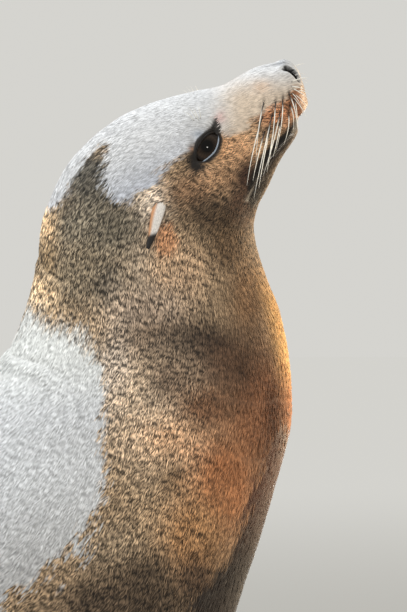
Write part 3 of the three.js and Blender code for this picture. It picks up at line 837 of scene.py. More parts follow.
def coat_look(x, y, kind, place, angle, jitter):
    """Colour, wetness and bareness of skin and coat alike, with painted sheen, rim light and shade; jitter
    breaks up the edges of the wet patches.
    """
    n = len(x)
    body = kind == BODY
    colour = np.tile(BASE_COAT, (n, 1))
    back = from_back(angle)
    for cx, cy, rx, ry, target in PATCHES:
        weight = np.clip(spot(x, y, cx, cy, rx, ry) * 1.3, 0, 1)
        colour = blend(colour, linear(*target), np.where(body, weight, 0))
    # Painted rim light: an amber band along the throat's edge, orange lower down.
    throat = line_distance(x, y, THROAT_LINE)[0]
    painted_rim_light = bell(throat, 0, 9) * np.interp(y, *THROAT_RIM_LIGHT_STRENGTH)
    painted_rim_light_colour = between(THROAT_RIM_LIGHT_AMBER, THROAT_RIM_LIGHT_ORANGE, smoothstep(y, 345, 405))
    colour = blend(colour, painted_rim_light_colour, np.where(body, painted_rim_light * smoothstep(place, 6.3, 9.5), 0))
    far_body = np.clip(smoothstep(y, 610, 720) + smoothstep(x, 0, -120), 0, 1)
    flank = between(FLANK_BACK, FLANK_UNDER, smoothstep(back, 70, 150))
    colour = np.where(body[:, None], colour + (flank - colour) * far_body[:, None], colour)

    # Painted sheen: the wet crown and muzzle are coloured pale grey, bluish and warm for the sky's reflection
    # in wet fur; the patch is also wet, so glossier.
    wet_head_painted_sheen = inside(x, y, WET_HEAD_PAINTED_SHEEN, 4, jitter * np.interp(np.hypot(x - 208, y - 140), *FRINGE_BY_EYE))
    wet_head_painted_sheen = np.where(body & (place < 12), wet_head_painted_sheen, 0)
    painted_sheen = between(PAINTED_SHEEN_WHITE, PAINTED_SHEEN_BLUE, smoothstep(y + 0.5 * x, 200, 285) * smoothstep(x, 215, 175))
    painted_sheen = blend(painted_sheen, PAINTED_SHEEN_WARM, smoothstep(x, 205, 245) * smoothstep(y, 66, 100))
    colour = blend(colour, painted_sheen, wet_head_painted_sheen)
    # Painted sheen: the wet shoulder and back are coloured pale grey, darker lower down, for the sky's
    # reflection in wet fur; the patch is also wet, so glossier.
    ragged = jitter * np.interp(y, *SHOULDER_FRINGE)
    wet_shoulder_painted_sheen = inside(x, y, WET_SHOULDER_PAINTED_SHEEN, np.interp(y, *SHOULDER_SOFTNESS), ragged)
    wet_shoulder_painted_sheen = np.where(body & (place > 9), wet_shoulder_painted_sheen, 0)
    wet_shoulder_painted_sheen = wet_shoulder_painted_sheen * (1 - 0.7 * smoothstep(place, 14.5, 19.5))
    painted_sheen = between(SHOULDER_PAINTED_SHEEN_PALE, SHOULDER_PAINTED_SHEEN_GREY, smoothstep(y, 340, 420))
    painted_sheen = blend(painted_sheen, SHOULDER_PAINTED_SHEEN_LOW, smoothstep(y, 470, 600))
    colour = blend(colour, painted_sheen, wet_shoulder_painted_sheen)
    wet_chest = inside(x, y, WET_CHEST, 3.5, jitter * np.interp(y, *CHEST_FRINGE))
    wet_chest = np.where(body & (place > 10), wet_chest, 0)
    # The wet brown of the chest, darker towards the bottom as painted shade under the chest.
    colour = blend(colour, between(WET_BROWN, WET_BROWN_PAINTED_SHADE, smoothstep(y, 455, 570)), wet_chest)
    wet = np.maximum(np.maximum(wet_head_painted_sheen, wet_shoulder_painted_sheen), wet_chest * 0.8)

    patch = np.where(body, inside(x, y, EAR_PATCH, 5), 0)
    colour = blend(colour, EAR_ORANGE, patch * 0.75)
    lobe = kind == EARLOBE
    to_front = np.cos(angle)
    ear_colour = between(EAR_PALE, EAR_EDGE, smoothstep(to_front, -0.35, -0.8))
    # Painted shade in the furrow of the ear's rolled front edge.
    ear_colour = blend(ear_colour, EAR_FURROW_SHADE, smoothstep(to_front, 0.55, 0.9))
    ear_colour = blend(ear_colour, BLACK_SKIN, smoothstep(place + 0.05 * to_front, 0.70, 0.78))
    ear_colour = blend(ear_colour, colour, smoothstep(place, 0.28, 0.05))
    colour = np.where(lobe[:, None], ear_colour, colour)

    arm = kind == ARM
    bare = np.where(arm, smoothstep(place, 0.25, 0.6), np.where(lobe, 0.75, 0.0))
    bare = np.where((kind == PALM) | (kind == SOLE), 1.0, bare)
    bare = np.where(kind == LEG, smoothstep(place, 0.15, 0.5), bare)
    bare = np.where(body, smoothstep(place, 22.8, 23.6), bare)
    colour = np.where((arm | (kind == LEG))[:, None], LIMB_COAT, colour)
    colour = blend(colour, FLIPPER_SKIN, np.where(lobe, 0, bare))
    return colour, wet, bare


def face_marks(colour, wet, bare, m, place, x, y):
    """Lids, tear lines, nostrils, lips and the whiskers' follicles, with painted shade round the eye, in the
    nostrils and the groove of the nose, and under the whisker pads.
    """
    edge = m["eye"]
    face = place < 6
    # Painted shade round the eye: brown behind and below it, black along the upper lid and at its rear
    # corner.
    shade = np.where(face, inside(x, y, EYE_SHADOW, 5), 0)
    colour = blend(colour, EYE_SHADOW_BROWN, 0.7 * shade)
    for cx, cy, rx, ry, target, strength in FACE_SPOTS:
        colour = blend(colour, linear(*target), np.where(face, strength * spot(x, y, cx, cy, rx, ry), 0))
    lid_shade = np.where(face, np.maximum(inside(x, y, UPPER_LID_SHADE, 1.0), inside(x, y, EYE_CORNER_SHADE, 2.0)), 0)
    colour = blend(colour, BLACK_SKIN, 0.95 * lid_shade)
    ring = smoothstep(edge, 1.52, 1.24)
    colour = blend(colour, BLACK_SKIN, ring * 0.97)
    colour = blend(colour, BLACK_SKIN, 0.9 * bell(m["tear"], 0, 1.3))
    # Painted shade: black inside the nostrils.
    colour = blend(colour, BLACK_SKIN * 0.2, smoothstep(m["nostril"], 1.35, 0.85))
    # Painted shade in the groove down the nose.
    colour = blend(colour, GROOVE_SHADE_GREY, 0.75 * m["groove"])
    lips = np.clip(1.3 * bell(m["mouth_side"], -0.5, 2.6), 0, 1) * (place < 4.8)
    # Black along the lip and painted shadow under the whisker pads, brown under the chin, the more so towards
    # the throat.
    chin = 1 - (0.66 + 0.22 * smoothstep(place, 2.2, 4.4)) * smoothstep(m["aside"], 27, 9)
    chin = np.where((m["mouth_side"] < -5) | (place > 3.5), chin, 1)
    shadow = np.where(face, inside(x, y, LIP_SHADOW, 2.5), 0) * chin
    lips = np.maximum(lips, shadow)
    colour = blend(colour, LIP_BLACK_AND_SHADOW, lips)
    below = smoothstep(m["mouth_side"], 0, -2) * smoothstep(place, 5.2, 3.5) * m["mouth_start"]
    colour = blend(colour, JAW_BROWN, 0.92 * below * chin)
    for (fx, fy), _ in WHISKERS:
        colour = blend(colour, FOLLICLE, 0.85 * spot(x, y - fy, fx, 1.5, 1.5, 4) * (place < 4))
    bare = np.maximum(bare, np.maximum(smoothstep(edge, 1.6, 1.25), 0.55 * lid_shade))
    bare = np.maximum(bare, 0.8 * lips * (1 - 0.4 * shadow))
    bare = np.maximum(bare, smoothstep(place, -0.2, -0.6))
    hole = smoothstep(m["nostril"], 1.5, 1.1)
    bare = np.maximum(bare, smoothstep(m["nostril"], 2.0, 1.5)) * (1 - hole)
    wet = np.maximum(wet, np.maximum(ring, smoothstep(place, 0.2, -0.3)) * 0.8) * (1 - hole) * (1 - shadow)
    return colour, wet, bare


# Whiskers by row, root and tip in photograph pixels: the long ones hang back along the lip.
WHISKERS = [
    ((263, 114), (247, 185)), ((273.5, 110), (254, 197)), ((281.5, 107), (263, 176)),
    ((289, 111), (284, 144)),
    ((265, 130), (253, 180)), ((270.5, 126), (259, 187)), ((275, 122), (267, 172)), ((281, 120), (273, 157)),
    ((264, 100), (256, 160)), ((276, 99), (270, 158)), ((283, 96), (276, 150)), ((289, 92), (297, 131)),
    ((290, 103), (293, 130)), ((294.5, 97), (297, 132)),
]
BRISTLES = [  # short stiff ones round the front of the nose
    ((292, 88), (310, 101)), ((290, 86), (309, 92)), ((291, 82), (308, 78)), ((295, 94), (308, 109)),
    ((296, 101), (306, 116)), ((293, 97), (303, 112)), ((292, 93), (301, 106)), ((298, 90), (311, 96)),
]
BROW_HAIRS = [
    ((197, 119), (188, 108)), ((199, 121), (192, 107)), ((201, 119), (198, 106)), ((195, 121), (184, 112)),
]
HAIR_ROOT, HAIR_TIP = linear(40, 32, 28), linear(244, 241, 232)


# How far along the body each station lies (mm), with one step for the nose's cap.
mid_line = (BACK(np.arange(LAST + 1)) + UNDER(np.arange(LAST + 1))) / 2
steps = np.linalg.norm(np.diff(mid_line, axis=0), axis=1)
BODY_LENGTH = np.concatenate([[0], 14 + np.concatenate([[0], np.cumsum(steps)])])
LIMB_LENGTH = 300


def down_fur(kind, place):
    """How far down the coat a point lies from the nose or the limb's root (mm)."""
    return np.where(kind == BODY, np.interp(place, np.arange(-1, LAST + 1), BODY_LENGTH), place * LIMB_LENGTH)


def streaks(p_straight, kind, place, angle, seed, long_mm, wide_mm):
    """Noise drawn out along the lie of the fur, not the same on both sides."""
    around = np.radians(from_back(angle)) * np.where(kind == BODY, HALF(np.clip(place, 0, LAST)), 30)
    apart = kind * 7.3 + (p_straight[:, 1] < 0) * 31.7
    return lattice_noise(np.stack([down_fur(kind, place) / long_mm, around / wide_mm, apart], -1), seed)


def speckle_of(x, y, kind, place):
    """How strongly the coat is flecked: most on the nape and neck, little on the throat and the muzzle."""
    calm = smoothstep(x, 170, 235) * smoothstep(y, 215, 300)
    calm = np.maximum(calm, 0.55 * smoothstep(place, 5.5, 3.5))
    calm = np.maximum(calm, 0.3 * smoothstep(x, 100, 150))
    return np.where(kind == BODY, 1.15 - 0.8 * calm, 0.6)


def edge_noise(p_straight, kind, place, angle):
    """From about -1 to 1, drawn out along the fur in broad locks and fine ones."""
    broad = streaks(p_straight, kind, place, angle, 11, 34, 11) * 2 - 1
    fine = streaks(p_straight, kind, place, angle, 13, 9, 2.6) * 2 - 1
    return 0.6 * broad + 0.8 * fine


def looks_of(p_straight, kind, place, angle, m, jitter):
    """Colour, wetness, bareness, speckle and slow patchiness of points of the skin or roots of tufts."""
    x, y = right_side_place(p_straight)
    colour, wet, bare = coat_look(x, y, kind, place, angle, jitter)
    colour, wet, bare = face_marks(colour, wet, bare, m, place, x, y)
    patchy = (streaks(p_straight, kind, place, angle, 9, 40, 16) - 0.5) * np.where(kind == BODY, 1, 0.4)
    return colour, wet, bare, speckle_of(x, y, kind, place), 1 + (0.12 + 0.30 * (1 - wet)) * patchy


jitter = edge_noise(straight, kind, place, angle)
skin_colour, skin_wet, skin_bare, skin_speckle, shade = looks_of(straight, kind, place, angle, mark, jitter)
skin_colour = np.clip(skin_colour * shade[:, None], 0, 1)


BODY_SHARE = 0.70  # of the unwrap's width


def unwrap(kind, place, angle, side):
    """The skin's own unwrap: the body in the left part of the square, the limbs in strips at its right."""
    u = BODY_SHARE * (angle / (2 * math.pi))
    v = np.interp(place, [-1, 0, NAPE, LAST], [0.0, 0.03, 0.45, 1.0])
    strip = 0.72 + 0.035 * (2 * (kind - 1) + (side < 0))
    on_limb = kind != BODY
    fans = (kind == PALM) | (kind == SOLE)
    round_ = np.where(fans, (angle + 0.5) / 5.0, angle / (2 * math.pi))
    u = np.where(on_limb, strip + 0.03 * np.clip(round_, 0, 1), u)
    v = np.where(on_limb, 0.02 + 0.96 * np.clip(place, 0, 1), v)
    return np.stack([u, v], -1)


uv = unwrap(kind, place, angle, straight[:, 1])


def store(mesh, **layers):
    """Keeps named values of the points in a mesh, for its material."""
    types = {1: ("FLOAT", "value"), 3: ("FLOAT_VECTOR", "vector"), 4: ("FLOAT_COLOR", "color")}
    for name, values in layers.items():
        kind, key = types[1 if values.ndim == 1 else values.shape[1]]
        layer = mesh.attributes.new(name, kind, "POINT")
        layer.data.foreach_set(key, np.ascontiguousarray(values, np.float32).reshape(-1))


def store_map(mesh, uv_of_loops):
    """Keeps the unwrap in a layer named OFBake."""
    layer = mesh.uv_layers.new(name="OFBake")
    layer.data.foreach_set("uv", uv_of_loops.astype(np.float32).reshape(-1))


def with_alpha(colour):
    return np.concatenate([colour, np.ones((len(colour), 1))], 1)


def fur_place(kind, place, angle):
    """Where a point lies in the coat: round the body or limb from its back, and down it (m)."""
    folded = np.radians(from_back(angle))
    station = np.clip(place, 0, LAST)
    deep = np.linalg.norm(BACK(station) - UNDER(station), axis=-1) / 2
    around = np.where(kind == BODY, folded * np.maximum(HALF(station), deep), folded * 40) * 0.001
    return np.stack([around, down_fur(kind, place) * 0.001, kind * 0.5], -1)


mesh = skin.data
store(mesh, markings=with_alpha(skin_colour), wetness=skin_wet, bareness=skin_bare, speckle=skin_speckle)
store(mesh, lie=fur_place(kind, place, angle))
loop_face = np.repeat(np.arange(len(mesh.polygons)), read(mesh.polygons, "loop_total", 1, np.int32))
loop_uv = uv[read(mesh.loops, "vertex_index", 1, np.int32)]
# A face across the seam under one angle step keeps to the near edge of the unwrap.
high_u = np.zeros(len(mesh.polygons))
low_u = np.ones(len(mesh.polygons))
np.maximum.at(high_u, loop_face, loop_uv[:, 0])
np.minimum.at(low_u, loop_face, loop_uv[:, 0])
wraps = (high_u - low_u > 0.35)[loop_face] & (loop_uv[:, 0] < 0.2)
loop_uv[:, 0] = np.where(wraps, loop_uv[:, 0] + BODY_SHARE, loop_uv[:, 0])
store_map(mesh, loop_uv)
mesh.polygons.foreach_set("use_smooth", np.ones(len(mesh.polygons), bool))


# ---------------------------------------------------------------- materials
def new_material(name):
    """A material, with add to make one of its nodes and shade to feed its shader."""
    material = bpy.data.materials.new(name)
    material.use_nodes = True
    tree = material.node_tree

    def feed(node, sockets):
        for key, value in sockets.items():
            if isinstance(value, bpy.types.NodeSocket):
                tree.links.new(value, node.inputs[key])
            else:
                node.inputs[key].default_value = value

    def add(kind, output, sockets={}, **settings):
        """Makes a node with its settings and what its sockets hold, and gives the output asked for."""
        node = tree.nodes.new("ShaderNode" + kind)
        for key, value in settings.items():
            setattr(node, key, value)
        feed(node, sockets)
        return node.outputs[output]

    def shade(sockets):
        feed(tree.nodes["Principled BSDF"], sockets)

    return material, add, shade


def fur_material(name, is_skin):
    """The markings and painted light, with flecks and hairs along the lie of the fur, calmer and shinier
    where it is wet.
    """
    material, add, shade = new_material(name)
    paint = add("Attribute", "Color", attribute_name="markings")
    wet = add("Attribute", "Fac", attribute_name="wetness")
    bare = add("Attribute", "Fac", attribute_name="bareness")
    speckle = add("Attribute", "Fac", attribute_name="speckle")
    lie = add("Attribute", "Vector", attribute_name="lie")

    def drawn_out(across, along, detail):
        """Noise drawn out along the fur, its cells this many to the metre."""
        stretched = add("Mapping", "Vector", {"Vector": lie, "Scale": (across, along, 1)})
        return add("TexNoise", "Fac", {"Vector": stretched, "Scale": 1.0, "Detail": detail})

    def maths(operation, *values):
        return add("Math", "Value", dict(enumerate(values)), operation=operation)

    hairs = drawn_out(2400, 260, 1.0)
    spread = {"From Min": 0.32, "From Max": 0.68, "To Min": -1.15, "To Max": 1.15}
    flecks = add("MapRange", "Result", {"Value": drawn_out(1050, 200, 0.0), **spread})
    fine = maths("MULTIPLY_ADD", hairs, 1.4, -0.7)
    dry, furred = maths("MULTIPLY_ADD", wet, -0.75, 1.0), maths("MULTIPLY_ADD", bare, -0.7, 1.0)
    strength = maths("MULTIPLY", maths("MULTIPLY", dry, furred), speckle)
    tone = maths("MULTIPLY_ADD", maths("ADD", flecks, fine), strength, 1.0)
    tone = maths("MAXIMUM", tone, 0.22)
    colour = add("VectorMath", "Vector", {0: paint, "Scale": tone}, operation="SCALE")

    rough = add("MapRange", "Result", {"Value": wet, "To Min": 0.72, "To Max": 0.36})
    rough = add("Mix", "Result", {"Factor": bare, "A": rough, "B": 0.42})
    shade({"Base Color": colour, "Roughness": rough, "Specular IOR Level": 0.34})
    shade({"Sheen Weight": 0.08, "Sheen Roughness": 0.4, "Sheen Tint": (1.0, 0.9, 0.78, 1)})

    height = hairs
    if is_skin:
        cells = {"Vector": add("TexCoord", "Object"), "Scale": 420}
        leather = add("TexVoronoi", "Distance", cells, feature="DISTANCE_TO_EDGE")
        height = add("Mix", "Result", {"Factor": bare, "A": hairs, "B": leather})
    relief = {"Height": height, "Strength": 0.45 if is_skin else 0.2, "Distance": 0.0009}
    shade({"Normal": add("Bump", "Normal", relief)})
    return material


MOTTLE = 0.25  # how much darker and lighter a plain look is in places


def plain_material(name, colour, roughness, coat=0.0, specular=0.5, grain=200):
    """One colour, mottled a little, with grain spots to the metre."""
    material, add, shade = new_material(name)
    noise = add("TexNoise", "Fac", {"Vector": add("TexCoord", "Object"), "Scale": grain, "Detail": 4})
    paint = add("ValToRGB", "Color", {"Fac": noise})
    dark, light = paint.node.color_ramp.elements
    dark.color = (*(np.array(colour) * (1 - MOTTLE)), 1)
    light.color = (*np.clip(np.array(colour) * (1 + MOTTLE), 0, 1), 1)
    shade({"Base Color": paint, "Roughness": roughness, "Specular IOR Level": specular})
    shade({"Coat Weight": coat, "Coat Roughness": 0.05})
    return material


def painted_material(name, layer, roughness, specular=0.5):
    """The colours kept in one layer of the mesh, mottled a little."""
    material, add, shade = new_material(name)
    noise = add("TexNoise", "Fac", {"Vector": add("TexCoord", "Object"), "Scale": 500})
    vary = add("MapRange", "Result", {"Value": noise, "To Min": 0.85, "To Max": 1.15})
    paint = {0: add("Attribute", "Color", attribute_name=layer), "Scale": vary}
    colour = add("VectorMath", "Vector", paint, operation="SCALE")
    shade({"Base Color": colour, "Roughness": roughness, "Specular IOR Level": specular})
    return material


def floor_material():
    """Plain pale floor, a little deeper under the animal than far off, where it meets the surroundings."""
    material, add, shade = new_material("floor_look")
    away = add("VectorMath", "Value", {0: add("TexCoord", "Object")}, operation="LENGTH")
    reach = {"Value": away, "From Min": 1.5, "From Max": 14.0}
    far = add("MapRange", "Result", reach, interpolation_type="SMOOTHSTEP")
    colours = {"Factor": far, "A": (0.62, 0.61, 0.585, 1), "B": (0.985, 0.985, 0.98, 1)}
    paint = add("Mix", "Result", colours, data_type="RGBA")
    shade({"Base Color": paint, "Roughness": 0.9, "Specular IOR Level": 0.0})
    return material


skin.data.materials.clear()
skin.data.materials.append(fur_material("skin_look", True))
FLESH = ["head", "lower_jaw", "neck", "chest", "trunk", "pelvis", "tail", "ear_left", "ear_right"]
LIMBS = ["fore_flipper_left", "fore_flipper_right", "hind_flipper_left", "hind_flipper_right"]
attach(skin, "root")
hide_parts(*FLESH, *LIMBS)

# ---------------------------------------------------------------- the coat
mesh.calc_loop_triangles()
triangles = read(mesh.loop_triangles, "vertices", 3, np.int32)
corner = posed[triangles]
area = 0.5 * np.linalg.norm(np.cross(corner[:, 1] - corner[:, 0], corner[:, 2] - corner[:, 0]), axis=1)
tri_place, tri_kind = place[triangles].mean(1), kind[triangles].max(1)
tri_wet, tri_bare = skin_wet[triangles].mean(1), skin_bare[triangles].max(1)
same_kind = kind[triangles].max(1) == kind[triangles].min(1)
tri_open = (mark["nostril"][triangles].min(1) > 1.7) & (mark["eye"][triangles].min(1) > 1.35)
tri_open &= (mark["tear"][triangles].min(1) > 0.8) & (mark["mouth"][triangles].min(1) > 1.6)

TUFT_LENGTH = ([-1, 1, 3, 5, 8, 12, 16, LAST], [2.8, 3.8, 5.0, 6.6, 8.4, 10.5, 14.0, 13.0])
TUFT_WIDTH = ([-1, 1, 3, 5, 8, 12, 16, LAST], [0.5, 0.6, 0.75, 0.95, 1.2, 1.5, 2.3, 2.3])
TUFTS_PER_CM2 = ([-1, 1, 3, 6, 9, 12, 15, 18, LAST], [40, 40, 38, 33, 28, 22, 12, 9, 9])
MOST_TUFTS = 215000
PIECE_TUFTS = 30000

density = np.interp(tri_place, *TUFTS_PER_CM2) / 100
density = np.where(tri_kind == BODY, density, 0.10)
density = density * (1 - 0.35 * tri_wet) * (tri_bare < 0.6) * same_kind * (tri_kind != EARLOBE)
density = density * (corner[:, :, 2].max(1) > 2.0) * tri_open
chance = density * area
wanted_count = int(min(MOST_TUFTS, chance.sum()))
picked = np.sort(RNG.choice(len(triangles), wanted_count, p=chance / chance.sum()))
w = RNG.random((wanted_count, 2))
w = np.where((w.sum(1) > 1)[:, None], 1 - w, w)
weights = np.stack([1 - w.sum(1), w[:, 0], w[:, 1]], -1)


def at_roots(values):
    """Values of the skin's points, carried to the tufts' roots."""
    return np.einsum("ij,ij...->i...", weights, values[triangles[picked]])


root = at_roots(posed)
root_straight = at_roots(straight)
up = unit(at_roots(normals))
along = unit(at_roots(lie))
along = unit(along - up * np.einsum("ij,ij->i", along, up)[:, None])
across = np.cross(up, along)
corner_index = triangles[picked][np.arange(wanted_count), weights.argmax(1)]
t_kind, t_place, t_angle = kind[corner_index], at_roots(place), angle[corner_index]
t_place = np.where(same_kind[picked], t_place, place[corner_index])
t_mark = {key: at_roots(value) for key, value in mark.items()}
tx, ty = right_side_place(root_straight)
spots = (root_straight, t_kind, t_place, t_angle)
t_jitter = edge_noise(*spots) + RNG.normal(0, 0.18, wanted_count)
t_colour, t_wet, t_bare, t_speckle, shade = looks_of(*spots, t_mark, t_jitter)
shade = shade + (0.05 + 0.11 * (1 - t_wet)) * RNG.standard_normal(wanted_count)
t_colour = np.clip(t_colour * np.clip(shade, 0.35, 2.2)[:, None], 0, 1)

length = np.interp(t_place, *TUFT_LENGTH)
width = np.interp(t_place, *TUFT_WIDTH)
near_eye = smoothstep(np.hypot(tx - 208, ty - 148), 30, 16) * (t_place < 7)
length = length * (1 - 0.5 * near_eye)
length = np.where(t_kind == BODY, length, 8.0) * RNG.uniform(0.75, 1.25, wanted_count)
width = np.where(t_kind == BODY, width, 1.8) * RNG.uniform(0.75, 1.25, wanted_count)
sway = RNG.normal(0, 0.16, wanted_count) + 0.35 * (streaks(*spots, 21, 60, 30) - 0.5)
along = unit(along + across * (sway * (1 - 0.5 * t_wet))[:, None])
across = np.cross(up, along)
lift = (0.025 + 0.05 * (1 - t_wet)) * RNG.uniform(0.4, 1.7, wanted_count)

BELOW = 0.35  # how far a tuft's root is sunk in the skin


def tuft_points():
    """Seven points each: left, ridge and right at the root and half way, and the tip."""
    half = across * (width / 2)[:, None]
    ridge = up * (width * 0.28)[:, None]
    base = root - up * BELOW
    mid = root + along * (length * 0.55)[:, None] + up * (length * lift * 0.75)[:, None]
    tip = root + along * length[:, None] + up * (length * lift)[:, None]
    at_root = [base - half * 0.8, base + ridge, base + half * 0.8]
    return np.stack(at_root + [mid - half, mid + ridge, mid + half, tip], 1)


# Of a tuft's seven points: places across and along it, how light they are (darker at the root as painted
# shade under the tufts lying over it, lighter at the tip), and their place on the map.
TUFT_ACROSS = np.array([-0.4, 0, 0.4, -0.5, 0, 0.5, 0])
TUFT_ALONG = np.array([0, 0, 0, 0.55, 0.55, 0.55, 1.0])
TUFT_PAINTED_SHADE = np.array([0.72, 0.78, 0.72, 1.0, 1.06, 1.0, 1.16])
TUFT_MAP = 0.003 * (np.array([[0, 0], [0.5, 0], [1, 0], [0, 0.6], [0.5, 0.6], [1, 0.6], [0.5, 1]]) - 0.5)
TUFT_TRIANGLES = np.array([[0, 1, 4], [0, 4, 3], [1, 2, 5], [1, 5, 4], [3, 4, 6], [4, 5, 6]])
points = tuft_points()
points[..., 2] = np.maximum(points[..., 2], 0.2)
facing = np.einsum("ij,ij->i", np.cross(points[:, 1] - points[:, 0], points[:, 4] - points[:, 0]), up)
if np.median(facing) < 0:
    TUFT_TRIANGLES = TUFT_TRIANGLES[:, ::-1]
tuft_normal = unit(np.stack([up - 0.45 * across, up, up + 0.45 * across] * 2 + [up + 0.1 * along], 1))
tuft_uv = unwrap(t_kind, t_place, t_angle, root_straight[:, 1])
coat_material = fur_material("coat_look", False)

for start in range(0, wanted_count, PIECE_TUFTS):
    part = slice(start, min(start + PIECE_TUFTS, wanted_count))
    n = part.stop - part.start
    tris = (TUFT_TRIANGLES[None] + 7 * np.arange(n)[:, None, None]).reshape(-1, 3)
    coat = make_mesh(f"coat_{start // PIECE_TUFTS + 1}", points[part].reshape(-1, 3), tris=tris)
    colours = np.clip(t_colour[part, None] * TUFT_PAINTED_SHADE[None, :, None], 0, 1).reshape(-1, 3)
    wetness, bareness, speckle = (np.repeat(values[part], 7) for values in (t_wet, t_bare, t_speckle))
    store(coat.data, markings=with_alpha(colours), wetness=wetness, bareness=bareness, speckle=speckle)
    from_root = [width[part, None] * TUFT_ACROSS, length[part, None] * TUFT_ALONG, np.zeros((n, 7))]
    root_lie = fur_place(t_kind[part], t_place[part], t_angle[part])
    store(coat.data, lie=(root_lie[:, None] + np.stack(from_root, -1) * 0.001).reshape(-1, 3))
    uvs = (tuft_uv[part, None] + TUFT_MAP[None]).reshape(-1, 2)
    store_map(coat.data, np.clip(uvs[tris.reshape(-1)], 0, 1))
    coat.data.normals_split_custom_set_from_vertices(tuft_normal[part].reshape(-1, 3))
    coat.data.materials.append(coat_material)
    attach(coat, "root")

# ---------------------------------------------------------------- eyes
rim_look = plain_material("lid_look", (0.010, 0.008, 0.007), 0.35, specular=0.3, grain=900)
# The wet lower lid: glossy, and pale blue as a painted reflection of the sky.
lid_glint_look = plain_material("lid_glint_look", (0.26, 0.31, 0.38), 0.15, coat=1.0, grain=700)
to_sphere = np.stack([EYE_LONG, EYE_SHORT, EYE_OUT])


eye_look = painted_material("eye_look", "iris", 0.05, 0.18)


def lid_curve(scale, start, stop, steps):
    """Along and across places on a line like the lids' edge, scaled about the middle of the opening."""
    t = np.radians(np.linspace(start, stop, steps))
    along, across = EYE_OPENING[0] * np.cos(t), EYE_OPENING[2] * np.sin(t)
    for _ in range(30):
        size = eye_opening(along, across)[..., None] ** (-1 / 1.4)
        along, across = along * size[..., 0], across * size[..., 0]
    return scale * along, scale * across


def tube_on_ball(along, across, radius, thick, side, closed):
    """A tube that follows a line on the eyeball, thick being its half thickness at each point."""
    arc = np.hypot(along, across)
    turned = radius * np.sin(arc / EYE_RADIUS) / arc
    local = np.stack([along * turned, across * turned, radius * np.cos(arc / EYE_RADIUS)], -1)
    line = local @ to_sphere + EYE_CENTRE
    if closed:
        ahead = unit(np.roll(line, -1, 0) - np.roll(line, 1, 0))
    else:
        ahead = unit(np.gradient(line, axis=0))
    away = unit(line - EYE_CENTRE)
    sideways = np.cross(ahead, away)
    turn = circle(10)
    ring = away[:, None] * np.cos(turn)[None, :, None] + sideways[:, None] * np.sin(turn)[None, :, None]
    grid = line[:, None] + ring * np.asarray(thick)[:, None, None]
    return turn_with_head(grid * np.array([1, side, 1]))


polar, round_ = np.meshgrid(np.linspace(0.02, math.pi - 0.02, 72), circle(72), indexing="ij")
unit_ball = np.stack([np.sin(polar) * np.cos(round_), np.sin(polar) * np.sin(round_), np.cos(polar)], -1)
# The iris by the angle from the eye's axis: the pupil, the brown ring, and the dark round it.
off_axis = np.degrees(polar)
iris = np.interp(off_axis, [0, 16, 20, 34, 42, 180], [0.001, 0.001, 0.008, 0.026, 0.006, 0.004])
iris = iris * (1 + 0.2 * np.cos(round_ * 23) * (off_axis > 18))
iris = np.concatenate([iris.reshape(-1), [iris[0, 0], iris[-1, 0]]])

for label, side in (("left", 1), ("right", -1)):
    ball = EYE_CENTRE + EYE_RADIUS * (unit_ball @ to_sphere)
    eye = outward(f"eyeball_{label}", turn_with_head(ball * np.array([1, side, 1])))
    store(eye.data, iris=with_alpha(iris[:, None] * np.array([1.3, 0.8, 0.5])))
    eye.data.materials.append(eye_look)
    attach(eye, "root")
    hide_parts("eye_" + label)

    rim_along, rim_across = lid_curve(1.0, 0, 354, 60)
    rim = tube_on_ball(rim_along, rim_across, EYE_RADIUS + 0.5, np.full(60, 0.9), side, True)
    # The last ring meets the first.
    quads = grid_faces(len(rim) + 1, rim.shape[1]) % (len(rim) * rim.shape[1])
    lids = make_mesh(f"lids_{label}", rim.reshape(-1, 3), quads)
    lids.data.materials.append(rim_look)
    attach(lids, "root")

    # The wet margin of the lower lid: a glossy tube, pale blue as a painted reflection.
    wet_along, wet_across = lid_curve(0.9, 18, 160, 40)
    taper = np.sin(np.linspace(0.08, math.pi - 0.08, 40)) ** 0.7
    wet_lid_glint = tube_on_ball(wet_along, wet_across, EYE_RADIUS - 0.1, 0.95 * taper, side, False)
    tear = outward(f"wet_lid_glint_{label}", wet_lid_glint)
    tear.data.materials.append(lid_glint_look)
    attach(tear, "root")

# ---------------------------------------------------------------- painted shade inside the nostrils, as black plugs
SHADE_PLUG_SIZE = np.array([9.3, 4.2, 4.2])
shade_plug_look = plain_material("nostril_shade_look", (0.004, 0.003, 0.003), 0.9, specular=0.05, grain=600)
for label, side in (("left", 1), ("right", -1)):
    here = straight[:, 1] * side > 0
    rim_middle = straight[here & (mark["nostril"] > 0.95) & (mark["nostril"] < 1.3)].mean(0)
    bottom = straight[here & (mark["nostril"] < 0.35)].mean(0)
    outwards = (rim_middle - bottom) * np.array([1, side, 1])
    axes = (unit_ball * SHADE_PLUG_SIZE) @ NOSTRIL_TURN.T
    middle = rim_middle * np.array([1, side, 1]) - SHADE_PLUG_SIZE[1] * unit(outwards)
    shade_plug = outward(f"nostril_{label}", turn_with_head((middle + axes) * np.array([1, side, 1])))
    shade_plug.data.materials.append(shade_plug_look)
    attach(shade_plug, "root")

# ---------------------------------------------------------------- whiskers
polygons = [tuple(t) for t in triangles.tolist()]
skin_tree = BVHTree.FromPolygons(posed.tolist(), polygons)


def on_skin(x, y):
    """The point of the near side of the skin that the photograph shows at a pixel (mm)."""
    aim = VIEW_CENTRE + np.array([(x - VIEW_CENTRE_PX[0]) * PIXEL, 0, (VIEW_CENTRE_PX[1] - y) * PIXEL])
    eye = VIEW_CENTRE - np.array([0, VIEW_DISTANCE, 0])
    hit = skin_tree.ray_cast(Vector(eye), Vector(aim - eye).normalized())
    return np.array(hit[0]), np.array(hit[1])


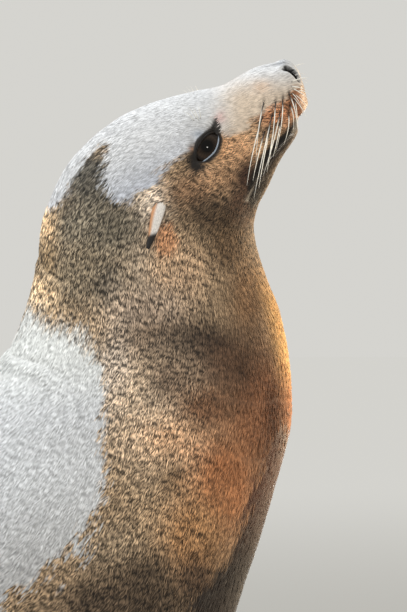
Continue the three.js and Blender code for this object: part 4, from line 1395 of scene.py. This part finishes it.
def hair_grid(start, mid, end, thick, rings=18, columns=6):
    """A bent hair that thins towards its tip."""
    t = np.linspace(0, 1, rings)[:, None]
    line = start * (1 - t) ** 2 + 2 * mid * t * (1 - t) + end * t**2
    ahead = unit(np.gradient(line, axis=0))
    side = unit(np.cross(ahead, [0.3, 0.9, 0.2]))
    other = np.cross(ahead, side)
    turn = circle(columns)
    radius = thick * (1 - 0.88 * t[:, 0] ** 1.5)
    return line[:, None] + radius[:, None, None] * (
        side[:, None] * np.cos(turn)[None, :, None] + other[:, None] * np.sin(turn)[None, :, None]
    )


hair_points, hair_quads, hair_tris, hair_tones, hair_count = [], [], [], [], 0
for hairs, thick, stand, root_dark in (
    (WHISKERS, 0.62, 9.0, 0.30),
    (BRISTLES, 0.45, 3.0, 0.15),
    (BROW_HAIRS, 0.35, 5.0, 0.15),
):
    for (x0, y0), (x1, y1) in hairs:
        start, normal = on_skin(x0, y0)
        reach = math.hypot(x1 - x0, y1 - y0) * PIXEL
        end = start + np.array([(x1 - x0) * PIXEL, -4.0 - 0.10 * reach, (y0 - y1) * PIXEL])
        mid = (start + end) / 2 + normal * stand * min(1.0, reach / 50) + np.array([0, -3, 2])
        start = start - normal * 1.5
        for side in (-1, 1):
            bend = np.stack([start, mid, end])
            if side > 0:
                bend = turn_with_head(straighten_head(bend) * np.array([1, -1, 1]))
            grid = hair_grid(*bend, thick)
            p, q, t = closed_mesh(grid)
            hair_points.append(p)
            down_hair = np.concatenate([np.repeat(np.linspace(0, 1, len(grid)), grid.shape[1]), [0, 1]])
            hair_tones.append(between(HAIR_ROOT, HAIR_TIP, smoothstep(down_hair, 0.5 * root_dark, root_dark)))
            hair_quads.append(q + hair_count)
            hair_tris.append(t + hair_count)
            hair_count += len(p)
hair_parts = (np.concatenate(parts) for parts in (hair_points, hair_quads, hair_tris))
whiskers = make_mesh("whiskers", *hair_parts)
store(whiskers.data, tone=with_alpha(np.concatenate(hair_tones)))
whiskers.data.materials.append(painted_material("whisker_look", "tone", 0.35))
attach(whiskers, "root")

# ---------------------------------------------------------------- nails
nail_look = plain_material("nail_look", (0.03, 0.025, 0.02), 0.35, coat=0.3, grain=600)
for name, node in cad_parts.items():
    if "nail" in name:
        node.data.materials.clear()
        node.data.materials.append(nail_look)

# ---------------------------------------------------------------- floor, lights and camera
bpy.ops.mesh.primitive_plane_add(size=120, location=(0, 0, 0))
floor = bpy.context.object
floor.name = "floor"
floor.data.materials.append(floor_material())

world = bpy.data.worlds.new("studio")
bpy.context.scene.world = world
world.use_nodes = True
background = world.node_tree.nodes["Background"]
background.inputs["Color"].default_value = (0.83, 0.82, 0.78, 1)
background.inputs["Strength"].default_value = 0.80


def area_light(name, place, aim, size, power, colour):
    data = bpy.data.lights.new(name, "AREA")
    data.shape = "RECTANGLE"
    data.size, data.size_y = size
    data.energy = power
    data.color = colour
    lamp = bpy.data.objects.new(name, data)
    lamp.location = place
    lamp.rotation_euler = (Vector(aim) - Vector(place)).to_track_quat("-Z", "Y").to_euler()
    lamp.visible_camera = False
    bpy.context.scene.collection.objects.link(lamp)


HEAD = (0.45, 0, 0.80)
area_light("sky", (-0.6, 0.9, 3.0), HEAD, (3.2, 2.4), 52, (0.92, 0.96, 1.0))
area_light("left_sky", (-2.6, -1.2, 1.6), (0.25, 0, 0.5), (1.6, 1.8), 26, (0.92, 0.96, 1.0))
area_light("warm_rim", (2.5, 1.7, 0.72), (0.5, 0, 0.56), (0.8, 1.0), 62, (1.0, 0.78, 0.52))
area_light("pale_rim", (1.7, 3.1, 0.15), (0.4, 0, 0.35), (0.6, 0.4), 28, (1.0, 0.98, 0.94))
area_light("front_fill", (0.9, -3.6, 1.9), HEAD, (0.32, 0.32), 24, (1.0, 0.96, 0.9))

camera_data = bpy.data.cameras.new("camera")
camera_data.sensor_fit = "VERTICAL"
camera_data.angle = 2 * math.atan(FRAME_HEIGHT / 2 / VIEW_DISTANCE)
camera_data.clip_end = 200
camera = bpy.data.objects.new("camera", camera_data)
camera.location = (VIEW_CENTRE - ORIGIN - np.array([0, VIEW_DISTANCE, 0])) * 0.001
camera.rotation_euler = (math.pi / 2, 0, 0)
bpy.context.scene.collection.objects.link(camera)
bpy.context.scene.camera = camera
bpy.context.scene.view_settings.view_transform = "Standard"
